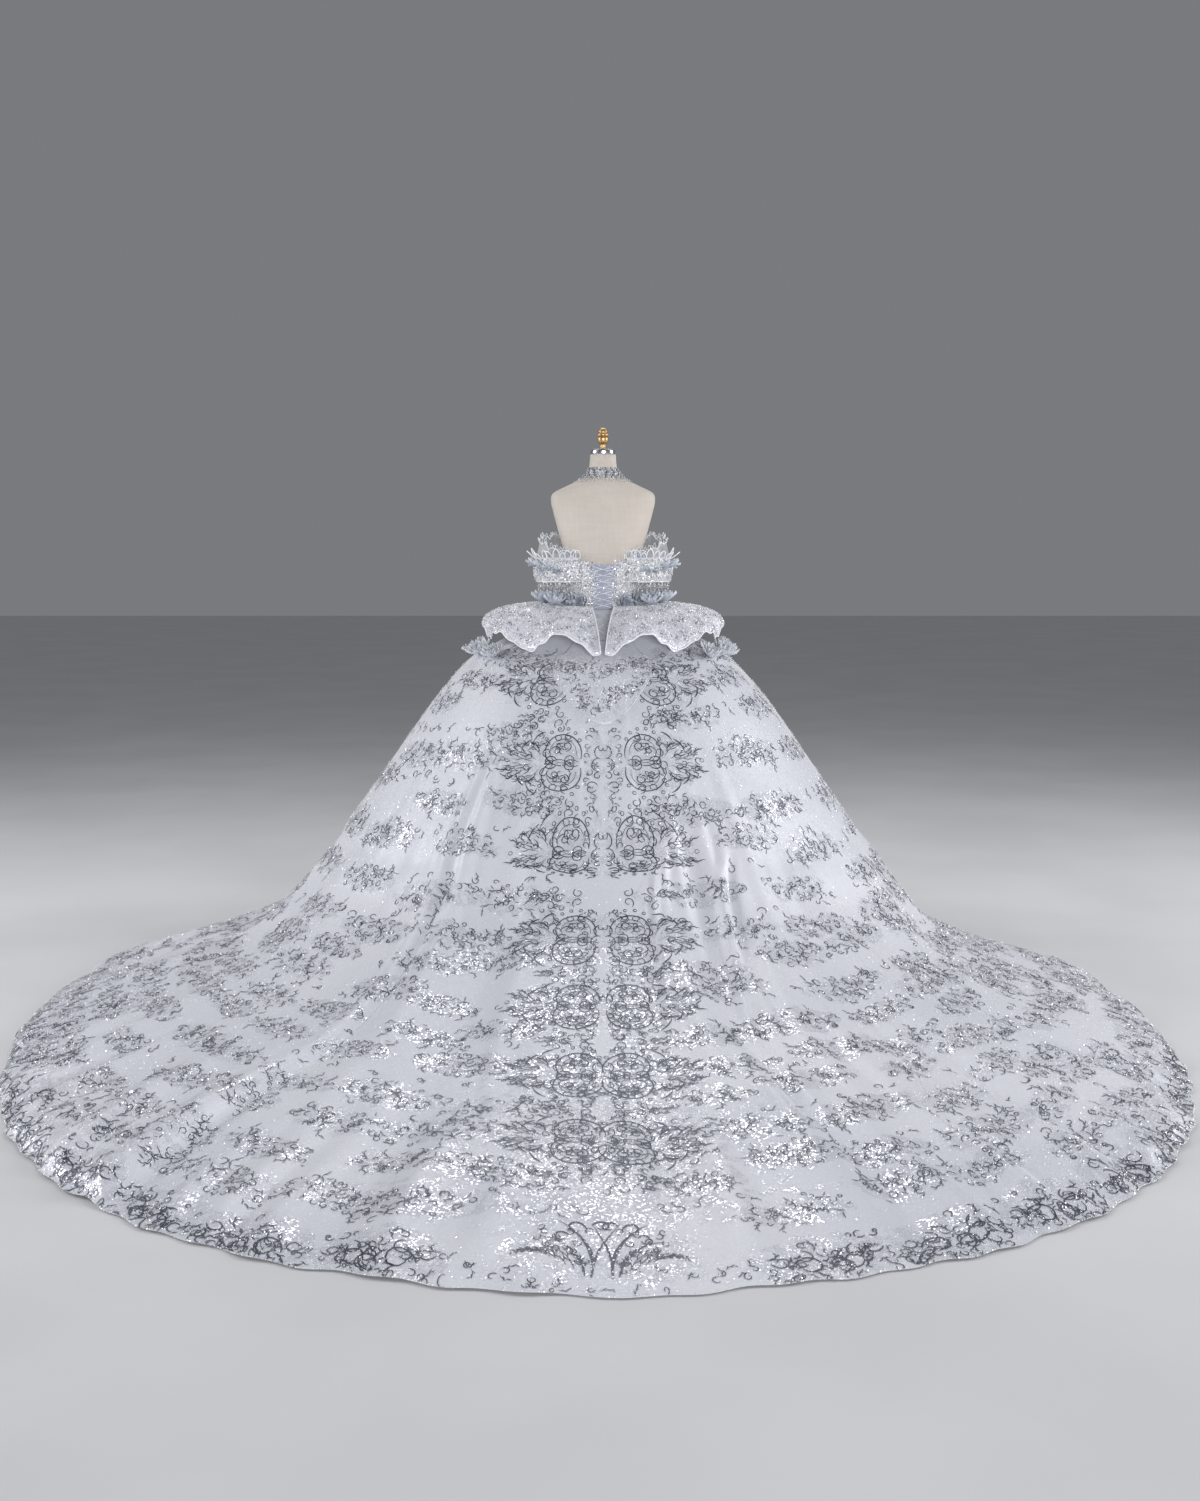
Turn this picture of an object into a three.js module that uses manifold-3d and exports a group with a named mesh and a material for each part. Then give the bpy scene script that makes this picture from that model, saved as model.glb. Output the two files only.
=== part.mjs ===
// A wedding dress with a cathedral train, worn on a limbless dress form.
// Millimetres, +Z up, the floor at z = 0 and the form's axis on the origin.
// The wearer faces +Y, so the back of the dress and its train lie towards -Y.
// An angle round the dress is 0 at the centre back, grows towards +X (the wearer's right)
// and is 180 degrees at the centre front.
import * as THREE from 'three';
import Module from 'manifold-3d';
import { mergeVertices } from 'three/addons/utils/BufferGeometryUtils.js';

const wasm = await Module();
wasm.setup();

// Driving dimensions
const SEAM_GAP = 0.3;
const SKIRT_CLOTH = 3;
const BODICE_CLOTH = 2.5;
const MODESTY_CLOTH = 1.2;
const SLEEVE_CLOTH = 2.5;
const FRILL_CLOTH = 1.6;
const PEPLUM_CLOTH = 2.5;
const FLOWER_CLOTH = 1.8;
const COLLAR_CLOTH = 3;

const WAIST_HEIGHT = 1316;
const BODICE_EASE = 2.4;
const MODESTY_EASE = 0.8;
const FORM_BOTTOM = 1040;
const POLE_RADIUS = 16;
const BASE_RADIUS = 200;
const BASE_THICKNESS = 12;

const DEG = Math.PI / 180;
const { clamp, lerp, smoothstep } = THREE.MathUtils;

// The form's level sections: half width, depth to the front and back of a centre that
// lies "forward" of the pole's axis.
const FORM = [
  { z: 1872, half: 46, front: 46, back: 44, forward: 12 },
  { z: 1835, half: 49, front: 48, back: 47, forward: 10 },
  { z: 1806, half: 57, front: 55, back: 55, forward: 6 },
  { z: 1780, half: 86, front: 62, back: 66, forward: 2 },
  { z: 1757, half: 134, front: 68, back: 75, forward: 0 },
  { z: 1733, half: 179, front: 76, back: 83, forward: 0 },
  { z: 1705, half: 187, front: 84, back: 91, forward: 0 },
  { z: 1665, half: 179, front: 95, back: 99, forward: 0 },
  { z: 1600, half: 162, front: 110, back: 104, forward: 0 },
  { z: 1550, half: 149, front: 123, back: 103, forward: 0 },
  { z: 1500, half: 139, front: 129, back: 99, forward: 0 },
  { z: 1450, half: 131, front: 123, back: 94, forward: 0 },
  { z: 1380, half: 121, front: 104, back: 87, forward: 0 },
  { z: 1310, half: 117, front: 92, back: 86, forward: 0 },
  { z: 1240, half: 138, front: 101, back: 100, forward: 0 },
  { z: 1150, half: 165, front: 112, back: 118, forward: 0 },
  { z: 1070, half: 172, front: 114, back: 122, forward: 0 },
  { z: FORM_BOTTOM, half: 170, front: 112, back: 120, forward: 0 },
];
const FORM_SQUARENESS = 2.3;

// The skirt's rings, from the waist to the hem: half widths of the left and right sides,
// reach behind and in front of the axis, how far back the ring is widest on each side, and
// the ring's height at the side, the back and the front.
const SKIRT = table(
  ['row', 'left', 'right', 'back', 'front', 'leftAt', 'rightAt', 'side', 'rear', 'fore'],
  [
    [0, 124, 124, 93, 99, 0, 0, 1316, 1316, 1316],
    [1, 392, 388, 280, 250, 0, 0, 1192, 1180, 1190],
    [2, 489, 470, 405, 380, 10, 10, 1130, 1110, 1120],
    [3, 604, 590, 530, 500, 30, 30, 993, 985, 985],
    [4, 752, 735, 665, 640, 60, 60, 783, 780, 775],
    [5, 892, 872, 815, 790, 90, 100, 577, 580, 560],
    [6, 932, 918, 895, 850, 110, 130, 501, 500, 470],
    [7, 1030, 998, 1050, 915, 150, 190, 382, 370, 330],
    [8, 1168, 1104, 1340, 985, 230, 260, 254, 257, 215],
    [9, 1372, 1240, 1660, 1040, 290, 340, 180, 155, 130],
    [10, 1586, 1420, 1970, 1085, 320, 400, 118, 100, 75],
    [11, 1800, 1662, 2275, 1120, 330, 430, 52, 45, 30],
    [12, 1850, 1763, 2535, 1150, 310, 450, 3.4, 3.4, 3.4],
  ],
);
// The train's plan is squarer than an ellipse behind its widest point and leaner in front,
// and its centre back comes to a low point at the hem.
const TRAIN_SQUARENESS = { left: 2.2, right: 2.3, front: 1.75 };
const TRAIN_POINT = { reach: 38, spread: 8, rows: 2 };
const HEM_ROW = 12;
const HOOP_ROW = 6;
const FOLD_RISE_ROWS = 1.5;
const FOLD_FADE_ROWS = 0.65;
const SKIRT_LINES = [0, 0.5, 1, 1.5, 2, 2.5, 3, 3.5, 4, 5, 6, 7, 8, 9, 10, 11, 12];

// The largest folds of the skirt and train: angle at the waist end and hem end, half
// width in degrees, height (a trough is negative), and the rows that they run between.
const FOLDS = [
  { from: -28, to: -25, spread: 4.5, height: 22, start: 3, end: 10 },
  { from: -21, to: -19, spread: 4, height: -14, start: 3, end: 9 },
  { from: 12, to: 13, spread: 3.5, height: 14, start: 4, end: 9 },
  { from: 18, to: 18, spread: 3.2, height: -10, start: 4, end: 9 },
  { from: 26, to: 26, spread: 4.5, height: 18, start: 4, end: 10 },
  { from: -38, to: -41, spread: 3.6, height: 26, start: 8, end: 12 },
  { from: -46, to: -49, spread: 3.8, height: 22, start: 8, end: 12 },
  { from: 33, to: 36, spread: 3.6, height: 18, start: 8, end: 12 },
  { from: 15, to: 14, spread: 4.5, height: 20, start: 8, end: 11 },
  { from: -9, to: -11, spread: 5, height: 18, start: 9, end: 12 },
  { from: 50, to: 54, spread: 5, height: 16, start: 7, end: 12 },
  { from: -62, to: -60, spread: 5, height: 16, start: 5, end: 11 },
  { from: 66, to: 70, spread: 5, height: 16, start: 5, end: 11 },
  { from: -84, to: -80, spread: 5, height: 16, start: 5, end: 12 },
  { from: 88, to: 84, spread: 5, height: 16, start: 5, end: 12 },
  { from: 108, to: 106, spread: 6, height: 24, start: 3, end: 12 },
  { from: -108, to: -106, spread: 6, height: 24, start: 3, end: 12 },
  { from: 130, to: 128, spread: 6, height: 26, start: 3, end: 12 },
  { from: -132, to: -130, spread: 6, height: 26, start: 3, end: 12 },
  { from: 152, to: 150, spread: 6, height: 26, start: 3, end: 12 },
  { from: -153, to: -151, spread: 6, height: 26, start: 3, end: 12 },
  { from: 179, to: 179, spread: 7, height: 24, start: 3, end: 12 },
];

const GORES = [
  { name: 'skirt_front_left_side', from: -128, to: -76, columns: 9 },
  { name: 'skirt_side_back_left', from: -76, to: -28, columns: 13 },
  { name: 'skirt_centre_back_left', from: -28, to: 0, columns: 10 },
  { name: 'skirt_centre_back_right', from: 0, to: 28, columns: 10 },
  { name: 'skirt_side_back_right', from: 28, to: 76, columns: 13 },
  { name: 'skirt_front_right_side', from: 76, to: 128, columns: 9 },
  { name: 'skirt_front', from: 128, to: 232, columns: 14 },
];

// Colours, roughness and metalness of what the pieces are made of.
const FINISHES = {
  damask: { color: 0xc6c8d0, roughness: 0.5, metalness: 0.05 },
  beading: { color: 0xd0d0cf, roughness: 0.35, metalness: 0.15 },
  modesty: { color: 0xb6b9c6, roughness: 0.6, metalness: 0 },
  organza: { color: 0xc2c8ce, roughness: 0.6, metalness: 0 },
  flower: { color: 0x9aa7b8, roughness: 0.7, metalness: 0 },
  crystal: { color: 0xe0e2e6, roughness: 0.15, metalness: 0.3 },
  linen: { color: 0xddd5ce, roughness: 0.9, metalness: 0 },
  silver: { color: 0xc8cacc, roughness: 0.2, metalness: 1 },
  brass: { color: 0xb8935a, roughness: 0.3, metalness: 1 },
  steel: { color: 0x6a6c70, roughness: 0.4, metalness: 1 },
};

// The rows of a table, each with its columns by name.
function table(columns, rows) {
  return rows.map((row) => Object.fromEntries(columns.map((column, i) => [column, row[i]])));
}

const dress = new THREE.Group();

// Adds one named piece to the dress.
function addPiece(name, geometry, finish) {
  const mesh = new THREE.Mesh(geometry, new THREE.MeshStandardMaterial(FINISHES[finish]));
  mesh.name = name;
  dress.add(mesh);
  return mesh;
}

// A table's column at a value of its key, smooth through the rows.
function read(table, key, column, value) {
  const falling = table[0][key] > table[table.length - 1][key];
  const rows = falling ? [...table].reverse() : table;
  const last = rows.length - 1;
  let i = rows.findIndex((row) => row[key] > value) - 1;
  if (i < 0) i = value <= rows[0][key] ? 0 : last - 1;
  const at = (k) => rows[clamp(k, 0, last)];
  const slope = (k) => {
    const before = at(k - 1);
    const after = at(k + 1);
    return (after[column] - before[column]) / (after[key] - before[key]);
  };
  const span = at(i + 1)[key] - at(i)[key];
  const s = clamp((value - at(i)[key]) / span, 0, 1);
  const start = at(i)[column];
  const end = at(i + 1)[column];
  const s2 = s * s;
  const s3 = s2 * s;
  return (
    start * (2 * s3 - 3 * s2 + 1) +
    slope(i) * span * (s3 - 2 * s2 + s) +
    end * (3 * s2 - 2 * s3) +
    slope(i + 1) * span * (s3 - s2)
  );
}

// A closed solid from a list of triangles of points.
function solidGeometry(points, triangles) {
  const geometry = new THREE.BufferGeometry();
  const numbers = points.flatMap((p) => [p.x, p.y, p.z]);
  geometry.setAttribute('position', new THREE.Float32BufferAttribute(numbers, 3));
  geometry.setIndex(triangles.flat());
  geometry.computeVertexNormals();
  return geometry;
}

// A cloth wall. point(u, v) gives its outer face, with u along the piece, growing with the
// angle round the dress, and v from its top or sewn edge to its hem. The inner face lies one
// thickness behind. A seam moves an end of the piece back by half the seam gap.
function wall(point, uList, vList, thickness, { closed = false, seams = true, floor = -Infinity } = {}) {
  const step = 1e-3;
  const outer = [];
  const inner = [];
  const across = uList.length;
  const down = vList.length;
  const last = across - 1;
  uList.forEach((u, i) => {
    vList.forEach((v) => {
      const p = point(u, v);
      const alongU = point(u + step, v).sub(point(u - step, v)).normalize();
      const alongV = point(u, Math.min(v + step, vList[down - 1]))
        .sub(point(u, Math.max(v - step, vList[0])))
        .normalize();
      const normal = alongV.clone().cross(alongU).normalize();
      if (seams && !closed && i === 0) p.addScaledVector(alongU, SEAM_GAP / 2);
      if (seams && !closed && i === last) p.addScaledVector(alongU, -SEAM_GAP / 2);
      const back = p.clone().addScaledVector(normal, -thickness);
      back.z = Math.max(back.z, floor);
      outer.push(p);
      inner.push(back);
    });
  });
  const shift = outer.length;
  const triangles = [];
  const quad = (a, b, c, d) => triangles.push([a, b, c], [a, c, d]);
  const spans = closed ? across : across - 1;
  for (let i = 0; i < spans; i += 1) {
    const here = i * down;
    const next = ((i + 1) % across) * down;
    for (let j = 0; j < down - 1; j += 1) {
      quad(here + j, here + j + 1, next + j + 1, next + j);
      quad(shift + here + j, shift + next + j, shift + next + j + 1, shift + here + j + 1);
    }
    quad(here, next, shift + next, shift + here);
    const low = down - 1;
    quad(next + low, here + low, shift + here + low, shift + next + low);
  }
  if (!closed) {
    const end = last * down;
    for (let j = 0; j < down - 1; j += 1) {
      quad(j + 1, j, shift + j, shift + j + 1);
      quad(end + j + 1, shift + end + j + 1, shift + end + j, end + j);
    }
  }
  return solidGeometry([...outer, ...inner], triangles);
}

// Evenly spaced values from a to b, with the given number of spans.
function spread(a, b, spans) {
  return Array.from({ length: spans + 1 }, (_, i) => lerp(a, b, i / spans));
}

// A point on the form's surface, moved out level by "out".
function formPoint(angle, z, out = 0) {
  const sine = Math.sin(angle * DEG);
  const cosine = Math.cos(angle * DEG);
  const power = 2 / FORM_SQUARENESS;
  const half = read(FORM, 'z', 'half', z) + out;
  const depth = read(FORM, 'z', cosine > 0 ? 'back' : 'front', z) + out;
  const x = Math.sign(sine) * Math.abs(sine) ** power * half;
  const y = -Math.sign(cosine) * Math.abs(cosine) ** power * depth;
  return new THREE.Vector3(x, y + read(FORM, 'z', 'forward', z), z);
}

// The folds' height at an angle and row of the skirt.
function foldHeight(angle, row) {
  return FOLDS.reduce((sum, fold) => {
    const along = clamp((row - fold.start) / (fold.end - fold.start), 0, 1);
    const middle = lerp(fold.from, fold.to, along);
    const turn = ((angle - middle + 540) % 360) - 180;
    const off = Math.abs(turn) / (2 * fold.spread);
    if (off >= 1) return sum;
    const rise = smoothstep(row, fold.start, fold.start + FOLD_RISE_ROWS);
    const fade = 1 - smoothstep(row, fold.end - FOLD_FADE_ROWS, fold.end + FOLD_FADE_ROWS);
    return sum + fold.height * rise * fade * Math.cos(off * Math.PI * 0.5) ** 2;
  }, 0);
}

// The skirt's outer face before its folds.
function skirtBase(angle, row) {
  const sine = Math.sin(angle * DEG);
  const cosine = Math.cos(angle * DEG);
  const side = sine < 0 ? 'left' : 'right';
  const half = read(SKIRT, 'row', side, row);
  const widest = read(SKIRT, 'row', `${side}At`, row);
  const train = smoothstep(row, HOOP_ROW, HEM_ROW);
  const power = 2 / lerp(2, TRAIN_SQUARENESS[cosine > 0 ? side : 'front'], train);
  const turn = ((angle + 540) % 360) - 180;
  const lowered = smoothstep(row, HEM_ROW - TRAIN_POINT.rows, HEM_ROW);
  const point = TRAIN_POINT.reach * lowered * Math.exp(-((turn / TRAIN_POINT.spread) ** 2));
  const behindAxis = read(SKIRT, 'row', 'back', row) - widest;
  const reach = cosine > 0 ? behindAxis : read(SKIRT, 'row', 'front', row) + widest;
  const x = Math.sign(sine) * Math.abs(sine) ** power * half;
  const behind = widest + Math.sign(cosine) * Math.abs(cosine) ** power * reach + point;
  const end = read(SKIRT, 'row', cosine > 0 ? 'rear' : 'fore', row);
  return new THREE.Vector3(x, -behind, lerp(read(SKIRT, 'row', 'side', row), end, cosine * cosine));
}

// The skirt's outer face, moved out by its folds and by "out".
function skirtPoint(angle, row, out = 0) {
  const p = skirtBase(angle, row);
  const step = 1e-3;
  const alongU = skirtBase(angle + step, row).sub(skirtBase(angle - step, row)).normalize();
  const alongV = skirtBase(angle, Math.min(row + step, HEM_ROW))
    .sub(skirtBase(angle, Math.max(row - step, 0)))
    .normalize();
  const normal = alongV.cross(alongU).normalize();
  p.addScaledVector(normal, foldHeight(angle, row) + out);
  return p;
}

for (const gore of GORES) {
  const columns = spread(gore.from, gore.to, gore.columns);
  const face = (u, v) => skirtPoint(u, v);
  addPiece(gore.name, wall(face, columns, SKIRT_LINES, SKIRT_CLOTH, { floor: 0 }), 'damask');
}

// The bodice: its top edge by angle, then its panels. It follows the form with a little ease.
const BODICE_TOP = [
  { angle: 0, z: 1480 },
  { angle: 30, z: 1488 },
  { angle: 60, z: 1506 },
  { angle: 90, z: 1518 },
  { angle: 120, z: 1540 },
  { angle: 145, z: 1566 },
  { angle: 162, z: 1562 },
  { angle: 180, z: 1526 },
];
const BODICE_PANELS = [
  { name: 'bodice_back_left', from: -62, to: -18, columns: 6 },
  { name: 'bodice_back_right', from: 18, to: 62, columns: 6 },
  { name: 'bodice_side_left', from: -122, to: -62, columns: 6 },
  { name: 'bodice_side_right', from: 62, to: 122, columns: 6 },
  { name: 'bodice_front', from: 122, to: 238, columns: 16 },
];
const BODICE_LINES = spread(0, 1, 6);

// The angle from the centre back, the same on both sides.
function fromCentreBack(angle) {
  const turn = (((angle % 360) + 540) % 360) - 180;
  return Math.abs(turn);
}

// A point on the bodice, v from its top edge down to the waist.
function bodicePoint(angle, v, out) {
  const top = read(BODICE_TOP, 'angle', 'z', fromCentreBack(angle));
  return formPoint(angle, lerp(top, WAIST_HEIGHT + SEAM_GAP, v), out);
}

const BODICE_OUT = BODICE_EASE + BODICE_CLOTH;
for (const panel of BODICE_PANELS) {
  const columns = spread(panel.from, panel.to, panel.columns);
  const face = (u, v) => bodicePoint(u, v, BODICE_OUT);
  addPiece(panel.name, wall(face, columns, BODICE_LINES, BODICE_CLOTH), 'beading');
}

// The modesty panel fills the gap between the back panels and runs under their edges.
const MODESTY_HALF_ANGLE = 22;
const MODESTY_TOP = 0.02;
const modestyFace = (u, v) => bodicePoint(u, lerp(MODESTY_TOP, 1, v), MODESTY_EASE + MODESTY_CLOTH);
const modestyColumns = spread(-MODESTY_HALF_ANGLE, MODESTY_HALF_ANGLE, 6);
const modesty = wall(modestyFace, modestyColumns, BODICE_LINES, MODESTY_CLOTH, { seams: false });
addPiece('modesty_panel', modesty, 'modesty');

// The lacing crosses over the modesty panel, held by the back panels all the way, and runs
// on over the top of the skirt between the peplum wings.
const LACE_THICKNESS = 3;
const LACE_CROSSINGS = 7;
const SKIRT_CROSSINGS = 3;
const LACE_LIFT = 2.7;
const LACE_ANGLE = 15.5;
const LACE_ON_BODICE = { from: 0.06, to: 0.97 };
const LACE_ON_SKIRT = { from: 0.1, to: 0.62, halfAtWaist: 31, halfAtEnd: 24, lift: 1 };
const LACE_BENDS = [-1, -0.36, 0.36];
const LACE_OUTWARD = new THREE.Vector3(0, -1, 0.3);

// A point on the lacing's bed: s from 0 at the bodice top to 1 at the waist, and on to 2
// down the skirt; across from -1 to 1.
function lacingBed(s, across, out) {
  if (s <= 1) {
    const v = lerp(LACE_ON_BODICE.from, LACE_ON_BODICE.to, s);
    return bodicePoint(across * LACE_ANGLE, v, MODESTY_EASE + MODESTY_CLOTH + out);
  }
  const row = lerp(LACE_ON_SKIRT.from, LACE_ON_SKIRT.to, s - 1);
  const reach = across * lerp(LACE_ON_SKIRT.halfAtWaist, LACE_ON_SKIRT.halfAtEnd, s - 1);
  const angle = Math.asin(reach / read(SKIRT, 'row', 'left', row)) / DEG;
  return skirtPoint(angle, row, out + LACE_ON_SKIRT.lift);
}

// A closed solid as a manifold, with its shared vertices merged.
function toManifold(geometry) {
  const bare = geometry.clone();
  bare.deleteAttribute('normal');
  bare.deleteAttribute('uv');
  const merged = mergeVertices(bare, 1e-4);
  return new wasm.Manifold(
    new wasm.Mesh({
      numProp: 3,
      vertProperties: Float32Array.from(merged.attributes.position.array),
      triVerts: Uint32Array.from(merged.index.array),
    }),
  );
}

// Solids joined into one geometry.
function joined(geometries) {
  const solid = geometries.map(toManifold).reduce((whole, next) => whole.add(next));
  const mesh = solid.getMesh();
  const geometry = new THREE.BufferGeometry();
  const numbers = Float32Array.from(mesh.vertProperties);
  geometry.setAttribute('position', new THREE.BufferAttribute(numbers, 3));
  geometry.setIndex(new THREE.BufferAttribute(Uint32Array.from(mesh.triVerts), 1));
  geometry.computeVertexNormals();
  return geometry;
}

// A four-sided bar along a list of points.
function bar(points, width, thickness, outward) {
  const corners = [];
  points.forEach((p, i) => {
    const before = points[Math.max(i - 1, 0)];
    const after = points[Math.min(i + 1, points.length - 1)];
    const along = after.clone().sub(before).normalize();
    const up = outward(i).clone().addScaledVector(along, -outward(i).dot(along)).normalize();
    const side = along.clone().cross(up);
    for (const [a, b] of [[-1, -1], [1, -1], [1, 1], [-1, 1]]) {
      const corner = p.clone().addScaledVector(side, (a * width) / 2);
      corners.push(corner.addScaledVector(up, (b * thickness) / 2));
    }
  });
  const triangles = [];
  const end = (points.length - 1) * 4;
  for (let i = 0; i < points.length - 1; i += 1) {
    for (let k = 0; k < 4; k += 1) {
      const here = i * 4 + k;
      const beside = i * 4 + ((k + 1) % 4);
      triangles.push([here, beside, beside + 4], [here, beside + 4, here + 4]);
    }
  }
  triangles.push([0, 2, 1], [0, 3, 2], [end, end + 1, end + 2], [end, end + 2, end + 3]);
  return outwardFacing(solidGeometry(corners, triangles));
}

// The same solid with its faces turned out.
function outwardFacing(geometry) {
  const position = geometry.attributes.position;
  const index = geometry.index.array;
  const a = new THREE.Vector3();
  const b = new THREE.Vector3();
  const c = new THREE.Vector3();
  let volume = 0;
  for (let i = 0; i < index.length; i += 3) {
    a.fromBufferAttribute(position, index[i]);
    b.fromBufferAttribute(position, index[i + 1]);
    c.fromBufferAttribute(position, index[i + 2]);
    volume += a.dot(b.cross(c));
  }
  if (volume > 0) return geometry;
  const turned = Array.from(index);
  for (let i = 0; i < turned.length; i += 3) {
    [turned[i + 1], turned[i + 2]] = [turned[i + 2], turned[i + 1]];
  }
  geometry.setIndex(turned);
  geometry.computeVertexNormals();
  return geometry;
}

// Two zigzags that cross at every step, one the mirror of the other.
function lacingZigzag(side) {
  const points = [];
  const steps = LACE_CROSSINGS + SKIRT_CROSSINGS;
  for (let i = 0; i < steps; i += 1) {
    const turned = i % 2 === 0 ? side : -side;
    for (const across of LACE_BENDS) {
      const s = lacingStep(i + (across + 1) / 2);
      points.push(lacingBed(s, across * turned, LACE_LIFT));
    }
  }
  points.push(lacingBed(lacingStep(steps), steps % 2 === 0 ? -side : side, LACE_LIFT));
  return bar(points, LACE_THICKNESS, LACE_THICKNESS, () => LACE_OUTWARD);
}

// The place along the lacing's bed after a number of crossings.
function lacingStep(count) {
  if (count <= LACE_CROSSINGS) return count / LACE_CROSSINGS;
  return 1 + (count - LACE_CROSSINGS) / SKIRT_CROSSINGS;
}
addPiece('lacing', joined([lacingZigzag(1), lacingZigzag(-1)]), 'modesty');

// The crystal collar lies round the neck base, on the form.
const COLLAR_LINES = [
  { v: 0, z: 1822, out: 4.4 },
  { v: 0.5, z: 1804, out: 6 },
  { v: 1, z: 1788, out: 9 },
];
const COLLAR_COLUMNS = 28;
const collarFace = (u, v) => {
  const z = read(COLLAR_LINES, 'v', 'z', v);
  return formPoint(u, z, read(COLLAR_LINES, 'v', 'out', v));
};
const collarTurn = spread(0, 360, COLLAR_COLUMNS).slice(0, -1);
const collar = wall(collarFace, collarTurn, [0, 0.5, 1], COLLAR_CLOTH, { closed: true });
addPiece('crystal_collar', collar, 'crystal');

// An off-shoulder sleeve: a band in a loop that leaves the bodice back, stands clear round
// the upper arm's place and comes home to the bodice front. The loop is given for the right
// side, from the back round to the front.
const SLEEVE_LOOP = [
  { x: 120, y: -93 },
  { x: 168, y: -90 },
  { x: 214, y: -64 },
  { x: 240, y: -6 },
  { x: 220, y: 62 },
  { x: 172, y: 106 },
  { x: 120, y: 124 },
];
const SLEEVE_FROM = 33;
const SLEEVE_TO = 150;
const BAND_TOP = 1500;
const BAND_BOTTOM = 1417;
const BAND_BULGE = 9;
const FRILL_WAVES = 7;
const FRILL_WAVE = 5;
const FRILL_LEAN = -17;
const FRILL_SEAT = 2 * SEAM_GAP;
const FRILL_PETALS = 9;
const FRILL_TOP = [
  { s: 0, z: 1516, petal: 6 },
  { s: 0.25, z: 1522, petal: 10 },
  { s: 0.5, z: 1556, petal: 14 },
  { s: 0.75, z: 1572, petal: 14 },
  { s: 1, z: 1562, petal: 10 },
];

// The loop at a height, s from its back end to its front end, moved out level by "out".
function sleeveLoop(s, z, out) {
  const seat = BODICE_OUT + SEAM_GAP + SLEEVE_CLOTH;
  const height = clamp(z, BAND_BOTTOM, BAND_TOP);
  const start = formPoint(SLEEVE_FROM, height, seat);
  const end = formPoint(SLEEVE_TO, height, seat);
  const middle = SLEEVE_LOOP.map((row) => new THREE.Vector3(row.x, row.y, height));
  const curve = new THREE.CatmullRomCurve3([start, ...middle, end]);
  const place = clamp(s, 0, 1);
  const along = curve.getTangent(place);
  const p = curve.getPoint(place);
  p.x += along.y * out;
  p.y -= along.x * out;
  p.z = z;
  return p;
}

// A face of a sleeve piece on one side of the dress, from the same face on the right side.
function mirrored(side, face) {
  if (side > 0) return face;
  return (u, v) => {
    const p = face(1 - u, v);
    p.x = -p.x;
    return p;
  };
}

function bandFace(s, v) {
  const bulge = BAND_BULGE * Math.sin(v * Math.PI) * Math.sin(s * Math.PI);
  return sleeveLoop(s, lerp(BAND_TOP, BAND_BOTTOM, v), bulge);
}

// The frill stands on the band and leans in towards the shoulder, scalloped in petals.
function frillFace(s, v) {
  const petal = Math.abs(Math.sin(s * Math.PI * FRILL_PETALS)) * read(FRILL_TOP, 's', 'petal', s);
  const top = read(FRILL_TOP, 's', 'z', s) + petal;
  const wave = FRILL_WAVE * Math.sin(s * Math.PI * 2 * FRILL_WAVES);
  const lean = (FRILL_LEAN + wave) * (1 - v) * Math.sin(clamp(s, 0, 1) * Math.PI);
  return sleeveLoop(s, lerp(top, BAND_TOP + FRILL_SEAT, v), lean);
}

// The bead fringe hangs below the back half of the band from a strip parted from its edge.
const FRINGE_FROM = 0.12;
const FRINGE_TO = 0.46;
const FRINGE_STRANDS = 9;
const FRINGE_STRIP = 5;
const FRINGE_ROOT = 3;
const STRAND_THICKNESS = 3;
const STRAND_LENGTHS = [20, 27, 33, 27, 21, 27, 34, 28, 20];

function fringeStrip(u, v) {
  const z = BAND_BOTTOM - 2 * SEAM_GAP - FRINGE_STRIP * v;
  return sleeveLoop(lerp(FRINGE_FROM, FRINGE_TO, u), z, 0);
}

function fringeGeometry(side) {
  const strip = wall(mirrored(side, fringeStrip), spread(0, 1, 8), [0, 1], SLEEVE_CLOTH, { seams: false });
  const parts = [strip];
  for (let i = 0; i < FRINGE_STRANDS; i += 1) {
    const s = lerp(FRINGE_FROM, FRINGE_TO, (i + 0.5) / FRINGE_STRANDS);
    const root = sleeveLoop(s, BAND_BOTTOM - FRINGE_ROOT, -SLEEVE_CLOTH / 2);
    root.x *= side;
    const tip = root.clone();
    tip.z -= STRAND_LENGTHS[i];
    const outward = () => new THREE.Vector3(0, -1, 0);
    parts.push(bar([root, tip], STRAND_THICKNESS, STRAND_THICKNESS, outward));
  }
  return joined(parts);
}

for (const [sideName, side] of [['left', -1], ['right', 1]]) {
  const whole = { seams: false };
  const bandGrid = [spread(0, 1, 22), spread(0, 1, 3)];
  const band = wall(mirrored(side, bandFace), ...bandGrid, SLEEVE_CLOTH, whole);
  addPiece(`sleeve_band_${sideName}`, band, 'beading');
  const frillGrid = [spread(0, 1, 36), spread(0, 1, 2)];
  const frill = wall(mirrored(side, frillFace), ...frillGrid, FRILL_CLOTH, whole);
  addPiece(`sleeve_frill_${sideName}`, frill, 'organza');
  addPiece(`bead_fringe_${sideName}`, fringeGeometry(side), 'crystal');
}

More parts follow.
